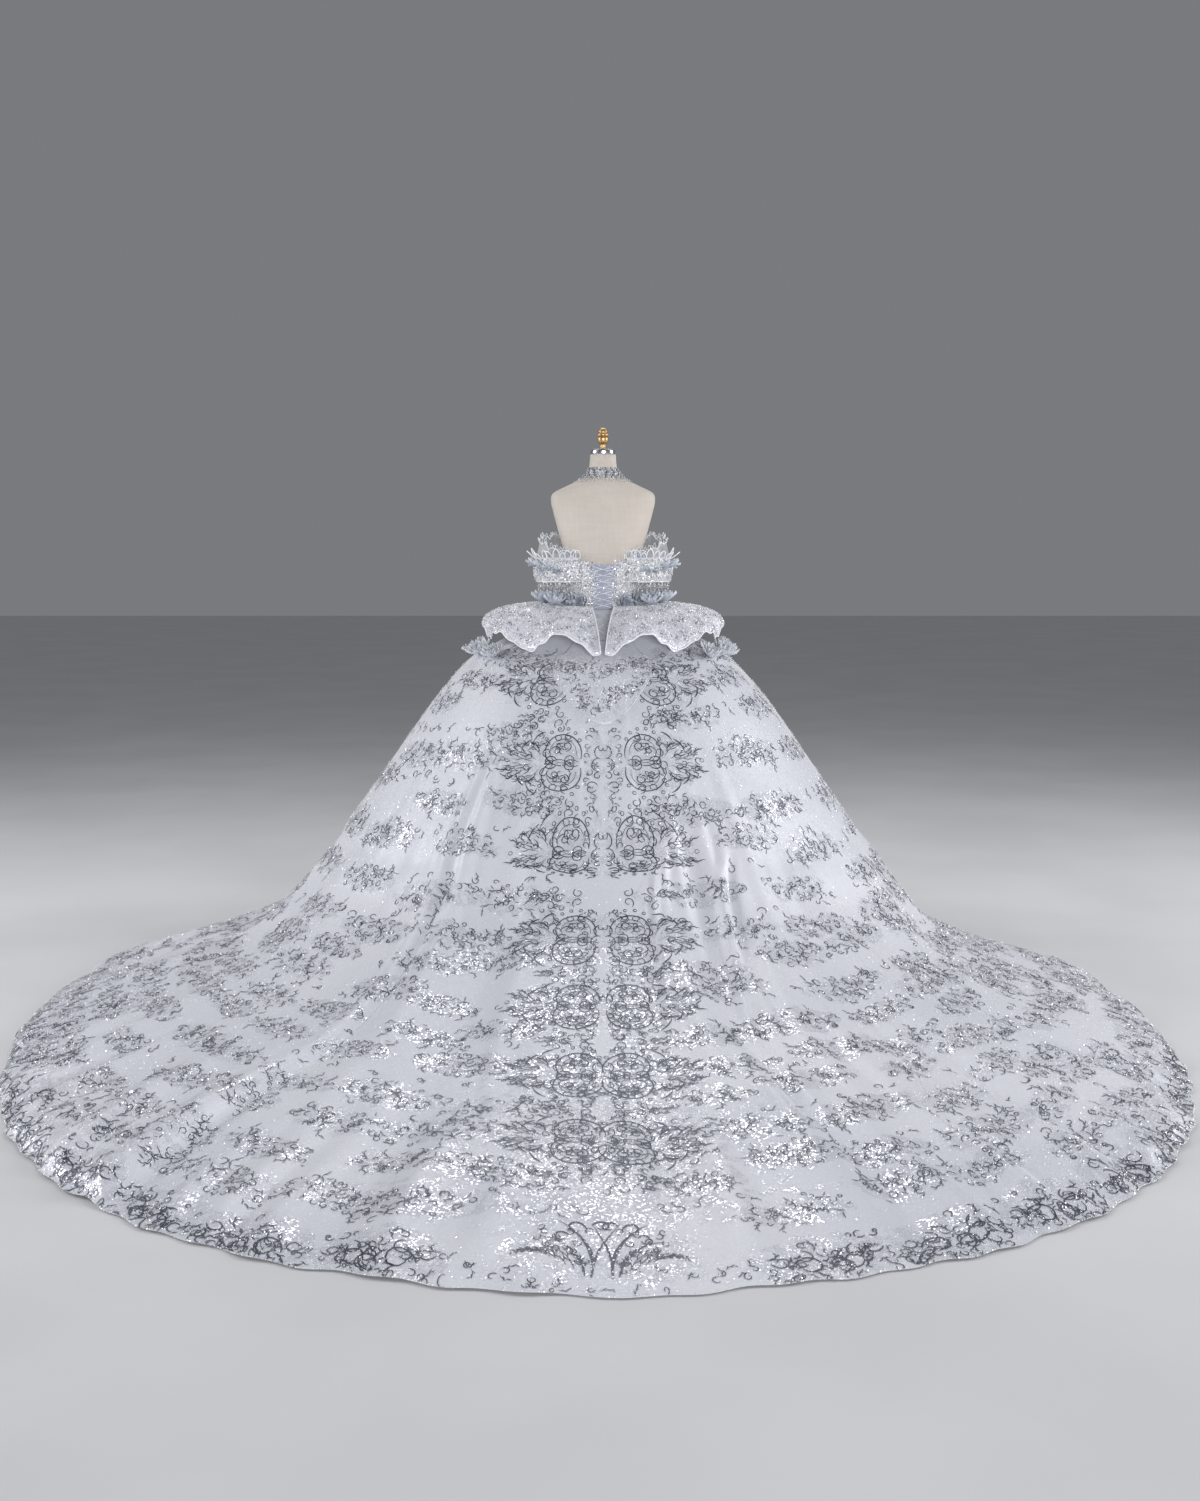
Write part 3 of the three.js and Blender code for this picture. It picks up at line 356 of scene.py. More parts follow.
CREASES = [
    # down the back of the skirt
    (-28.5, -27, 1.3, 7, 2.6, 7.5), (-26, -24, 1.6, -6, 3, 8.5), (-14, -12, 1.5, 5, 5, 8.6),
    (-7, -6, 1.2, -4, 2.5, 6.5), (7, 6.5, 1.1, 4, 2.4, 5.5), (9.5, 10, 1.3, -5, 4.5, 8.8),
    (15, 15.5, 1.1, 5, 3.4, 7.6), (21.5, 22, 1.2, 7, 3.6, 8.4), (23.5, 24.5, 1.3, -5, 4.2, 8.2),
    (31, 32, 1.7, 6, 3.2, 8), (38, 41, 2, -5, 4.4, 8.8), (-34, -33, 1.9, 5, 3, 7.4),
    (-41, -43, 2.1, -6, 4, 8.4), (45, 47, 1.8, 5, 5.2, 9), (-52, -53, 2.2, 5, 3.6, 8),
    (-32, -34, 1.3, 10, 3, 9.4), (-30, -31.5, 0.8, -6, 5, 9), (13.5, 8.5, 0.9, 7, 4, 8.6),
    (26, 19, 0.9, 8, 4.3, 8.6), (28, 21, 0.8, -6, 4.6, 8.4), (11.5, 6.8, 0.8, -5, 4.4, 8.2),
    # over the train
    (-34.5, -37, 1.1, 17, 8.8, 10.9), (-32.6, -34.6, 0.9, -11, 8.9, 10.8), (-34, -39, 1.2, 15, 9.6, 12),
    (-31.5, -36, 1.0, -10, 9.8, 12), (-43, -45.5, 1.3, 13, 9, 12), (-40.6, -43, 1.0, -9, 9.4, 12),
    (-52, -56, 1.6, 15, 8.6, 12), (-54.4, -58.6, 1.3, -11, 9, 12), (-20, -22, 1.4, 11, 9.4, 12),
    (-24.5, -27, 1.2, 10, 9.9, 12), (-22.4, -24.6, 1.0, -9, 9.8, 12), (-28.5, -31, 1.1, 11, 9.6, 12),
    (-15, -17, 1.3, -9, 9.2, 11.6), (-12, -13, 1.1, 9, 9.5, 11.8), (-5.4, -6.4, 1.2, 9, 9.6, 11.6),
    (5, 4, 1.1, -6, 8.8, 11), (9, 8, 1.3, 10, 9.2, 11.8), (16, 18, 1.0, 14, 8.3, 9.9),
    (18.2, 20.4, 0.9, -9, 8.4, 10.2), (20, 21, 1.3, -10, 9.6, 11.7), (24, 26.5, 1.4, 13, 9.4, 12),
    (31, 33, 1.1, 13, 9.4, 11.4), (33, 35.4, 1.0, -9, 9.5, 12), (40, 43, 1.5, 12, 9, 12),
    (43, 46.4, 1.1, -9, 9.2, 12), (46, 50, 1.4, 10, 8.6, 12), (58, 61, 1.6, 12, 8.8, 12),
    (63, 66, 1.5, -9, 9.2, 12), (-66, -68, 1.8, 11, 8.8, 12), (-72, -73, 1.6, -9, 9.4, 12),
    (74, 76, 1.8, 11, 8.8, 12), (-61, -63, 1.3, 9, 9.5, 12), (52, 54, 1.2, -9, 9.6, 12),
    # round the sides and the front, which the photograph hides
    (-94, -92, 2.4, 7, 4, 11), (-100, -99, 2, -6, 5, 12), (-119, -117, 2.6, 8, 3.8, 12),
    (-143, -141, 2.6, -8, 4.4, 12), (-165, -163, 2.4, 7, 4, 12), (97, 95, 2.2, 6, 4.6, 11),
    (119, 117, 2.5, -7, 4, 12), (141, 139, 2.5, 8, 4.6, 12), (163, 161, 2.6, -7, 3.8, 12),
    (172, 170, 2.2, 6, 5, 12), (-172, -174, 2.2, -6, 4.4, 12),
]
# Short waves where the hem lies in ripples: angle, half width, height.
HEM_WAVES = [
    (-64, 2.2, 9), (-59, 1.8, 7), (-54, 2, 10), (-44, 1.8, 7), (-34, 1.6, 6), (-23, 1.5, 5),
    (-12, 1.3, 5), (11, 1.4, 5), (22, 1.5, 6), (35, 1.7, 6), (47, 2, 8), (56, 2, 10), (63, 1.8, 6),
    (76, 2.4, 7), (-78, 2.4, 7),
]


def turned(angle):
    """An angle as -180 to 180."""
    return (angle + 540) % 360 - 180


def bell(off):
    """A soft bump from -1 to 1."""
    return np.where(np.abs(off) < 1, np.cos(np.clip(off, -1, 1) * np.pi / 2) ** 2, 0)


HEM_FOLDS = [(angle, angle, half_width, rise, HEM_ROW - 1.4, HEM_ROW + 1)
             for angle, half_width, rise in HEM_WAVES]
WRINKLE_COUNT = 90
CREASE_DEPTH = 1.5
HEM_RIPPLE, HEM_REACH = 4, 2000
LEAST_HEIGHT = 1.5


def wrinkles():
    """Short shallow wrinkles of the cloth that lies on the floor."""
    pick = np.random.default_rng(7)
    made = []
    for k in range(WRINKLE_COUNT):
        at = -178 + 356 * (k * GOLDEN % 1)
        start = pick.uniform(7.4, 10.9)
        rise = pick.choice([-1, 1]) * pick.uniform(4, 8)
        lower, half_width = at + pick.normal(0, 2.5), pick.uniform(0.9, 2.2)
        made.append((at, lower, half_width, rise, start, start + pick.uniform(1.6, 2.6)))
    return made


SMALL_FOLDS = [(upper, lower, half_width, CREASE_DEPTH * rise, start, end)
               for upper, lower, half_width, rise, start, end in CREASES + wrinkles()]
FOLD_COLUMNS = np.array(LARGE_FOLDS + SMALL_FOLDS + HEM_FOLDS).T[:, :, None]
BLOCK = 4096


def fold_height(angle, row):
    """How far the folds lift the cloth, worked out for a block of points at a time."""
    shape = np.broadcast(angle, row).shape
    angles, rows = (part.ravel() for part in np.broadcast_arrays(angle, row))
    upper, lower, half_width = FOLD_COLUMNS[:3, :, 0]
    height = np.zeros(len(angles))
    for first in range(0, len(angles), BLOCK):
        angle, row = angles[first:first + BLOCK], rows[first:first + BLOCK]
        lowest, highest = angle.min(), angle.max()
        reach = (highest - lowest + np.abs(upper - lower)) / 2 + 2 * half_width
        near = np.abs(turned((lowest + highest - upper - lower) / 2)) <= reach
        from_angle, to_angle, spread, rise, start, end = FOLD_COLUMNS[:, near | (highest - lowest > 180)]
        middle = lerp(from_angle, to_angle, np.clip((row - start) / (end - start), 0, 1))
        fade = smoothstep(row, start, start + 1.5) * (1 - smoothstep(row, end - 0.7, end + 0.6))
        height[first:first + BLOCK] = (rise * fade * bell(turned(angle - middle) / (2 * spread))).sum(0)
    return height.reshape(shape)


def skirt_base(angle, row):
    sine, cosine = np.sin(np.radians(angle)), np.cos(np.radians(angle))
    left, behind = sine < 0, cosine > 0
    half = np.where(left, SKIRT("left", row), SKIRT("right", row))
    widest = np.where(left, SKIRT("left_at", row), SKIRT("right_at", row))
    squareness = np.where(behind, np.where(left, LEFT_SQUARENESS, RIGHT_SQUARENESS), FRONT_SQUARENESS)
    power = 2 / lerp(2, squareness, smoothstep(row, HOOP_ROW, HEM_ROW))
    point = np.exp(-((turned(angle) / TRAIN_POINT_SPREAD) ** 2)) * smoothstep(row, HEM_ROW - 2, HEM_ROW)
    reach = np.where(behind, SKIRT("back", row) - widest, SKIRT("front", row) + widest)
    x = signed_power(sine, power) * half
    y = widest + signed_power(cosine, power) * reach + TRAIN_POINT_REACH * point
    side, end = SKIRT("side", row), np.where(behind, SKIRT("rear", row), SKIRT("fore", row))
    return np.stack([x, -y, lerp(side, end, cosine**2)], -1)


def skirt_point(angle, row, out=0.0):
    """A point on the skirt, moved out in millimetres."""
    angle, row = np.asarray(angle, float), np.clip(row, 0, HEM_ROW)
    along_u = skirt_base(angle + STEP, row) - skirt_base(angle - STEP, row)
    along_v = skirt_base(angle, np.minimum(row + STEP, HEM_ROW)) - skirt_base(angle, np.maximum(row - STEP, 0))
    normal = unit(np.cross(along_v, along_u))
    lift = fold_height(angle, row) * (1 - 0.7 * smoothstep(row, HEM_ROW - 0.35, HEM_ROW)) + out
    points = skirt_base(angle, row) + normal * np.asarray(lift)[..., None]
    waves = np.sin(np.radians(31 * angle)) + np.sin(np.radians(77 * angle) + 1)
    ripple = HEM_RIPPLE * smoothstep(row, HEM_ROW - 0.8, HEM_ROW) * waves
    points[..., :2] *= 1 + (ripple / HEM_REACH)[..., None]
    points[..., 2] = np.maximum(points[..., 2], LEAST_HEIGHT)
    return points * MM


# Strokes of the damask, in millimetres: x away from the centre back, y down the skirt

def curl(x, y, heading, length, bend, tighten=1.0, width=3.0, points=9, leaf=False):
    """A stroke from (x, y) that turns by bend degrees in all, faster towards its end."""
    s = np.linspace(0, 1, points)
    middle = (s[1:] + s[:-1]) / 2
    turn = np.radians(heading + bend * middle**tighten)
    steps = np.stack([np.cos(turn), np.sin(turn)], -1) * length / (points - 1)
    line = np.array([x, y]) + np.vstack([[0, 0], np.cumsum(steps, axis=0)])
    shape = ([0, 0.35, 1], [0.35, 1, 0.12]) if leaf else ([0, 0.12, 0.75, 1], [0.5, 1, 0.95, 0.45])
    return line, width * np.interp(s, *shape)


def ring(x, y, radius, width=1.8):
    return curl(x + radius, y, 90, 2 * math.pi * radius, 360, 1, width, 8)


def sprig(x, y, heading, length, bend, leaves=5, width=2.6, leaf_length=0.3):
    """A stem with leaves by turns on its two sides, and a curl at its end."""
    stem, widths = curl(x, y, heading, length, bend, 1.3, width * 0.7, 6)
    strokes = [(stem, widths)]
    for k in range(leaves):
        share = (k + 1) / (leaves + 0.6)
        place = np.array([np.interp(share, np.linspace(0, 1, 6), stem[:, axis]) for axis in (0, 1)])
        side = 1 if k % 2 else -1
        way = heading + bend * share**1.3 + side * 46
        reach = length * leaf_length * (1.15 - 0.5 * share)
        strokes.append(curl(*place, way, reach, -side * 50, 1, width * 1.25, 3, leaf=True))
    return strokes


def random_curl(pick, x, y, bends, lengths, tighten, width, points):
    """A curl of a random way, length and bend to either side, and its bend."""
    bend = pick.choice([-1, 1]) * pick.uniform(*bends)
    return curl(x, y, pick.uniform(0, 360), pick.uniform(*lengths), bend, tighten, width, points), bend


def upside_down(strokes):
    return [(line * [1, -1], widths) for line, widths in strokes]


def facing_left(strokes):
    return [(line * [-1, 1], widths) for line, widths in strokes]


def rosette(x, y, radius, petals=5, width=2.4):
    """A small open flower."""
    strokes = [ring(x, y, radius * 0.25, width * 0.7)]
    for k in range(petals):
        way = 360 * k / petals + 20
        spoke = np.array([math.cos(math.radians(way)), math.sin(math.radians(way))])
        root = np.array([x, y]) + radius * 0.35 * spoke
        strokes.append(curl(*root, way - 55, radius * 1.5, 150, 1, width, 6))
    return strokes


def medallion():
    """Two volutes, one the mirror of the other, with a leafy wing to one side."""
    half = [
        curl(-58, -12, -100, 262, 330, 1.15, 3.1, 24), curl(-46, -20, -98, 176, 300, 1.1, 1.5, 16),
        curl(-52, -4, -30, 96, 400, 1.5, 2.4, 13), curl(-20, -30, 200, 66, 380, 1.4, 2.8, 11),
        curl(2, -8, -50, 74, 360, 1.4, 3.0, 11), curl(20, -34, -120, 60, -340, 1.4, 2.8, 10),
        curl(-14, -50, -30, 54, 330, 1.4, 2.6, 9), curl(-34, -62, 40, 50, -320, 1.4, 2.6, 9),
        curl(28, -14, -10, 52, -300, 1.3, 2.6, 8), curl(-26, -84, 10, 48, 300, 1.3, 2.4, 8),
        curl(10, -76, 60, 44, 300, 1.3, 2.4, 8),
    ]
    for way in (-165, -135, -105, -75, -45, -15):
        x, y = 46 * math.cos(math.radians(way)) - 8, 44 * math.sin(math.radians(way)) - 52
        half.append(ring(x, y, 4.2, 2.2))
    half += rosette(-6, -40, 12, 5, 2.2)
    half += sprig(30, -62, 60, 54, -120, 4, 2.2)
    half += sprig(44, -18, -52, 74, 60, 6, 2.4)
    half += sprig(56, -8, -30, 84, 40, 7, 2.5)
    half += sprig(66, -4, -8, 84, -30, 6, 2.3)
    half += sprig(92, -26, -58, 40, 60, 4, 2.5)
    half.append(curl(44, -84, 20, 48, 70, 1.2, 4.2, 7, leaf=True))
    half.append(curl(76, -62, 30, 46, 60, 1.1, 4.4, 7, leaf=True))
    half.append(curl(50, -30, -70, 50, 110, 1.2, 3.8, 7, leaf=True))
    for x, y, bend in ((64, -40, 300), (84, -14, -320), (104, -40, 280), (118, -12, -300), (40, -50, 330)):
        half.append(curl(x, y, 3 * x, 36, bend, 1.3, 2.4, 7))
    return half + upside_down(half) + [ring(-36, 0, 6), ring(140, 0, 5)]


def half_pitch_scrolls():
    """Small scrolls between two medallions, from the seam outwards."""
    strokes = []
    for x, y, heading, length, bend in (
        (22, -34, 60, 74, 330), (22, 34, -60, 74, -330), (52, -6, -30, 66, 320),
        (60, 12, 30, 60, -300), (88, -12, 200, 56, 290), (98, 16, 170, 60, -320),
        (122, -8, -150, 50, -280), (128, 10, 140, 44, 260),
    ):
        strokes.append(curl(x, y, heading, length, bend, 1.5, 2.8, 10))
    return strokes + sprig(92, 0, -12, 66, 20, 6, 2.6) + sprig(112, 4, 30, 44, -40, 4, 2.4)


def seam_column():
    """Half of the narrow column of rings and scrolls on the centre seam."""
    strokes = [
        curl(0, -62, 20, 64, 150, 1, 3.0, 9), curl(0, -62, 60, 40, 250, 1.4, 2.2, 9),
        curl(0, -18, 0, 75, 180, 1, 2.6, 9), curl(0, 30, 10, 54, 300, 1.5, 3.0, 10),
        curl(4, 80, -60, 70, 310, 1.5, 2.8, 10), curl(8, 96, 50, 60, -300, 1.5, 2.8, 10),
        curl(26, -92, -60, 44, 240, 1.4, 2.4, 8),
    ]
    for x, y, bend in (
        (30, -60, -300), (34, -20, 300), (24, 24, -280), (30, 60, 320), (26, 110, -300), (34, -130, 300),
    ):
        strokes += [curl(x, y, 5 * y, 44, bend, 1.4, 2.5, 8), ring(x + 12, y + 16, 3.4, 1.8)]
    strokes += sprig(4, 118, 70, 46, -60, 4, 2.2) + sprig(5, -100, -70, 44, 60, 4, 2.2)
    return strokes + rosette(14, 8, 9)


def bouquet(seed, half_width=150, half_height=52, sprays=9, curls=17):
    """A cluster of leaves, curls and small flowers that spreads mostly sideways."""
    pick = np.random.default_rng(seed)
    strokes = []

    def spots(count, reach):
        k = np.arange(count) + pick.uniform(0.2, 0.8, count)
        away, way = reach * np.sqrt(k / count), 2.4 * k + pick.uniform(0, 6)
        return np.stack([away * np.cos(way) * half_width, away * np.sin(way) * half_height], -1)

    for x, y in spots(sprays, 0.85):
        way = (0 if x > 0 else 180) + pick.uniform(-80, 80)
        bend = pick.choice([-1, 1]) * pick.uniform(70, 190)
        strokes += sprig(x, y, way, pick.uniform(34, 62), bend, pick.integers(4, 7), 2.3, 0.32)
    for x, y in spots(curls, 0.98):
        strokes.append(random_curl(pick, x, y, (220, 380), (24, 54), 1.4, 2.6, 7)[0])
    for x, y in spots(14, 1.05):
        way, length, bend = pick.uniform(0, 360), pick.uniform(14, 24), pick.uniform(-90, 90)
        strokes.append(curl(x, y, way, length, bend, 1, 3.4, 3, leaf=True))
    for x, y in spots(2, 0.6):
        strokes += rosette(x, y, pick.uniform(11, 16))
    return strokes


def border_scroll(seed):
    """A larger scroll of the hem border."""
    pick = np.random.default_rng(seed)
    strokes = [
        curl(-80, 20, -70, 150, 360, 1.4, 3.8, 13), curl(80, 20, -110, 150, -360, 1.4, 3.8, 13),
        curl(-8, 34, -80, 120, 360, 1.4, 3.4, 12), curl(8, 44, -20, 110, -330, 1.4, 3.4, 12),
        curl(-50, -34, 20, 90, 330, 1.4, 3.2, 10), curl(54, -36, 160, 90, -330, 1.4, 3.2, 10),
        curl(-112, -6, 60, 80, -330, 1.4, 3.2, 10), curl(112, -6, 120, 80, 330, 1.4, 3.2, 10),
    ]
    for k in range(9):
        x, y = -120 + 30 * k + pick.uniform(-8, 8), pick.uniform(-44, 50)
        way, length, bend = pick.uniform(0, 360), pick.uniform(34, 56), pick.choice([-1, 1]) * 130
        strokes += sprig(x, y, way, length, bend, 5, 2.8, 0.36)
    for _ in range(16):
        x, y = pick.uniform(-130, 130), pick.uniform(-56, 60)
        strokes.append(random_curl(pick, x, y, (200, 340), (26, 50), 1.3, 2.9, 7)[0])
    return strokes + rosette(0, -10, 17, 6, 2.6) + rosette(-66, 4, 12, 5, 2.4) + rosette(70, 0, 12, 5, 2.4)


def hem_fan():
    """Half of the hem's centre motif: leaves that rise from the seam in a fan."""
    strokes = [
        curl(8, 60, -96, 190, 75, 1.3, 9, 14, leaf=True), curl(20, 58, -86, 168, 95, 1.2, 7, 13, leaf=True),
        curl(6, 40, -92, 150, -30, 1.2, 5, 12, leaf=True), curl(26, -86, -60, 84, 300, 1.4, 4.6, 12),
        curl(60, -60, -40, 70, 300, 1.4, 4.2, 11), curl(16, -96, -120, 64, -300, 1.4, 4.2, 11),
    ]
    for k in range(7):
        strokes += sprig(24 + 17 * k, 48 - 8 * k, -86 + 12 * k, 84 - 4 * k, 60, 6, 2.6)
    for k in range(14):
        x, y = 14 + 9 * k, -70 + 120 * (k * GOLDEN % 1) * (1 - k / 20)
        strokes.append(curl(x, y, 40 * k, 44, 320 if k % 2 else -300, 1.4, 2.6, 8))
    return strokes


SEQUIN_LIFT, SEQUIN_TILT = 1.2, 0.42


class Needlework:
    """Threads and sequins that are sewn on one surface, gathered into one mesh."""

    def __init__(self, surface, lift):
        self.surface = surface
        self.lift = lift
        self.lines = []
        self.spots = []

    def frame_at(self, u, v):
        """What turns level and downward millimetres at a place into steps of u and v."""
        here = np.array([u, v], float).reshape(2, 1)
        along_u, along_v, normal = [part[0] for part in directions(self.surface, here[0], here[1])]
        level = unit(along_u)
        down = np.cross(normal, level)
        down = down if down @ along_v > 0 else -down
        square = np.array([[along_u @ level, along_v @ level], [along_u @ down, along_v @ down]])
        return np.linalg.inv(square) * MM

    def place(self, strokes, u, v, size=1.0, turn=0.0):
        steps = self.frame_at(u, v)
        spin = np.radians(turn)
        spun = np.array([[math.cos(spin), -math.sin(spin)], [math.sin(spin), math.cos(spin)]])
        for line, widths in strokes:
            self.lines.append(((line * size) @ spun.T @ steps.T + [u, v], widths * min(1.15, size**0.5)))

    def scatter(self, count, u, v, half_width, half_height, size, shine=1):
        """Sequins about a place."""
        steps = self.frame_at(u, v)
        away = chance.normal(0, 0.5, (count, 2)) * [half_width, half_height]
        sizes = size * chance.uniform(0.6, 1.25, count)
        self.spots.append((away @ steps.T + [u, v], sizes, np.full(count, shine)))

    def build(self, name, materials, slot):
        points, faces, uses, first = [], [], [], 0
        if self.lines:
            uv = np.vstack([line for line, _ in self.lines])
            widths = np.concatenate([w for _, w in self.lines])[:, None] * MM
            counts = np.array([len(line) for line, _ in self.lines])
            ends = np.cumsum(counts) - 1
            starts = ends - counts + 1
            index = np.arange(len(uv))
            before, after = np.maximum(index - 1, 0), np.minimum(index + 1, len(uv) - 1)
            before[starts], after[ends] = starts, ends
            middle = self.surface(uv[:, 0], uv[:, 1], self.lift)
            normal = directions(self.surface, uv[:, 0], uv[:, 1])[2]
            side = unit(np.cross(normal, middle[after] - middle[before])) * widths / 2
            points.append(np.stack([middle - side, middle + side], 1).reshape(-1, 3))
            inner = np.setdiff1d(index, ends)
            faces.append(np.stack([inner * 2, inner * 2 + 1, inner * 2 + 3, inner * 2 + 2], -1))
            uses.append(np.zeros(len(inner)))
            first = len(uv) * 2
        if self.spots:
            uv = np.vstack([spot for spot, _, _ in self.spots])
            sizes = np.concatenate([s for _, s, _ in self.spots])[:, None] * MM
            shines = np.concatenate([s for _, _, s in self.spots])
            middle = self.surface(uv[:, 0], uv[:, 1], self.lift + SEQUIN_LIFT)
            normal = directions(self.surface, uv[:, 0], uv[:, 1])[2]
            tilted = unit(normal + chance.normal(0, SEQUIN_TILT, normal.shape))
            across = unit(np.cross(tilted, chance.normal(0, 1, normal.shape)))
            along = np.cross(tilted, across)
            corners = [middle + (across * a + along * b) * sizes / 2
                       for a, b in ((-1, -1), (1, -1), (1, 1), (-1, 1))]
            points.append(np.stack(corners, 1).reshape(-1, 3))
            faces.append(first + np.arange(len(uv) * 4).reshape(-1, 4))
            uses.append(shines)
        return add_piece(name, np.vstack(points), np.vstack(faces), materials, slot, uses=np.concatenate(uses))


# Where things lie on the skirt

BACK_STEPS, RING_STEPS = 241, 121
BACK_ROWS = np.linspace(0, HEM_ROW, BACK_STEPS)


def runs(points):
    """How far each point of a line is from its first one, along the line."""
    return np.concatenate([[0], np.cumsum(np.linalg.norm(np.diff(points, axis=0), axis=1))])


BACK_RUNS = runs(skirt_point(np.zeros(BACK_STEPS), BACK_ROWS))


def row_at(run):
    """The row that lies a distance down the centre back."""
    return float(np.interp(run, BACK_RUNS, BACK_ROWS))


def angle_at(run, row, side):
    """The angle that lies a distance round the skirt from the centre back."""
    angles = np.linspace(0, 180, RING_STEPS)
    around = runs(skirt_point(side * angles, np.full(RING_STEPS, row)))
    return side * float(np.interp(run, around, angles))


def half_ring(row, side):
    """How far it is round half of the skirt at a row."""
    return run_length(skirt_point(side * np.linspace(0, 180, 91), np.full(91, row)))


# Finishes

SATIN_WHITE = tone(216, 217, 224)
LACE_GREY = tone(130, 136, 152)


def damask_paint(wire):
    lace = wire.worn("lace")
    fine = wire.noise(300, 2).over(0.42, 0.60)
    broad = wire.noise(34, 3).over(0.30, 0.72)
    ragged = (lace + 0.75 * broad).over(0.70, 1.25)
    tint = ragged * (0.06 + 0.42 * fine)
    cloth = wire.noise(1.7, 2).over(0.3, 0.7).blend(tone(203, 205, 214), SATIN_WHITE)
    glitter = wire.cells(240).over(0.68, 0.72) * (0.12 + 0.88 * ragged)
    return {
        "Base Color": glitter.blend(tint.blend(cloth, LACE_GREY), tone(252, 252, 255)),
        "Roughness": 0.52 - 0.34 * glitter,
        "Metallic": 0.10 + 0.45 * glitter,
    }


def cloth_relief(wire):
    return wire.noise(9, 2) * 0.9 + wire.noise(420, 1) * 0.03


def plain_paint(first, second, scale, rough, metallic=0.0, spread_of_rough=0.12):
    """Two near colours in soft patches, with a roughness that varies as they do."""
    def paint(wire):
        patches = wire.noise(scale, 3).over(0.3, 0.7)
        wires = {"Base Color": patches.blend(first, second), "Roughness": rough + spread_of_rough * patches}
        if metallic:
            wires["Metallic"] = metallic - 0.05 * patches
        return wires
    return paint


def beaded_paint(wire):
    grain = wire.cells(260).over(0.3, 0.8)
    clusters = wire.noise(60, 2).over(0.4, 0.62)
    ground = clusters.blend(tone(186, 188, 194), tone(226, 226, 226))
    glint = wire.cells(330).over(0.8, 0.84)
    return {
        "Base Color": glint.blend(grain.blend(tone(160, 163, 172), ground), tone(255, 255, 252)),
        "Roughness": 0.48 - 0.33 * glint,
        "Metallic": 0.12 + 0.5 * glint,
    }


def linen_paint(wire):
    stretches = ((1, 1, 0.12), (0.12, 0.12, 1))
    level, upright = (wire.noise(90, 4, stretch).over(0.35, 0.75) for stretch in stretches)
    slubs = level * 0.5 + upright * 0.5
    aged = wire.noise(3, 2).over(0.35, 0.7)
    return {
        "Base Color": (slubs * 0.5 + aged * 0.5).blend(tone(214, 204, 194), tone(230, 222, 213)),
        "Roughness": 0.82 + 0.12 * slubs,
    }


def brushed_paint(first, second, rough):
    def paint(wire):
        streaks = wire.noise(120, 3, (1, 1, 0.05)).over(0.3, 0.7)
        colour = streaks.blend(tone(*first), tone(*second))
        return {"Base Color": colour, "Roughness": rough + 0.12 * streaks}
    return paint


def plain(name, first, second, scale, rough, metallic=0.0, spread_of_rough=0.12, height=None, depth=0.0, **own):
    """A finish of two near screen colours."""
    paint = plain_paint(tone(*first), tone(*second), scale, rough, metallic, spread_of_rough)
    return finish(name, paint, height, depth, **own)


def petal_paint(root, tip):
    def paint(wire):
        veins = wire.noise(130, 2).over(0.3, 0.7)
        share = wire.worn("tip") * (0.75 + 0.25 * veins)
        return {"Base Color": share.blend(tone(*root), tone(*tip)), "Roughness": 0.5 + 0.2 * veins}
    return paint


damask = finish("damask_tulle", damask_paint, cloth_relief, 0.004, Sheen_Weight=0.25, Sheen_Roughness=0.4)
thread = plain("metallic_thread", (58, 63, 76), (84, 90, 104), 80, 0.34, 0.45, Sheen_Weight=0.1)
silver_thread = plain("silver_thread", (196, 198, 205), (226, 227, 232), 80, 0.3, 0.35)
pewter_thread = plain("pewter_thread", (72, 73, 78), (128, 129, 134), 160, 0.34, 0.4)
sequin = plain("silver_sequins", (236, 237, 243), (255, 255, 255), 200, 0.2, 0.3, Coat_Weight=0.4)
pearl_sequin = plain("pale_sequins", (226, 227, 231), (246, 247, 250), 200, 0.3, 0.2)
beaded = finish("beaded_tulle", beaded_paint, lambda wire: wire.cells(260, "Distance"), 0.002,
                Sheen_Weight=0.15)
satin = plain("satin_lining", (212, 213, 216), (226, 227, 229), 6, 0.3, 0, 0.1, cloth_relief, 0.002,
              Sheen_Weight=0.3, Sheen_Roughness=0.3)
piping = plain("white_piping", (232, 233, 238), (246, 246, 250), 40, 0.45, Sheen_Weight=0.2)
modesty = plain("modesty_satin", (166, 172, 192), (184, 189, 206), 18, 0.42, 0, 0.12,
                lambda wire: wire.weave(500), 0.0004, Sheen_Weight=0.3)
lace_cord = plain("lacing_cord", (206, 208, 216), (236, 237, 242), 160, 0.4, 0.15, 0.12,
                  lambda wire: wire.noise(700, 1), 0.0005)
crystal = plain("cut_crystal", (150, 152, 158), (255, 255, 255), 160, 0.1, 0.4, 0.06)
organza = plain("grey_organza", (168, 170, 174), (206, 208, 211), 24, 0.5, 0, 0.12,
                lambda wire: wire.weave(600), 0.0003, Alpha=0.72, Sheen_Weight=0.3)
linen = finish("linen_cover", linen_paint, lambda wire: wire.weave(420), 0.0006, Sheen_Weight=0.15)
cap_metal = finish("polished_silver", brushed_paint((176, 178, 182), (214, 216, 220), 0.14), Metallic=1.0)
brass = plain("turned_brass", (190, 156, 110), (202, 170, 124), 9, 0.42, 0, 0.06, Metallic=1.0)
steel = finish("brushed_steel", brushed_paint((96, 98, 104), (138, 140, 146), 0.32), Metallic=1.0)
blue_organza = finish("blue_grey_organza", petal_paint((104, 117, 143), (222, 228, 236)),
                      Alpha=0.93, Sheen_Weight=0.5)
pale_organza = finish("pale_organza", petal_paint((160, 168, 180), (226, 229, 234)),
                      Alpha=0.93, Sheen_Weight=0.5)

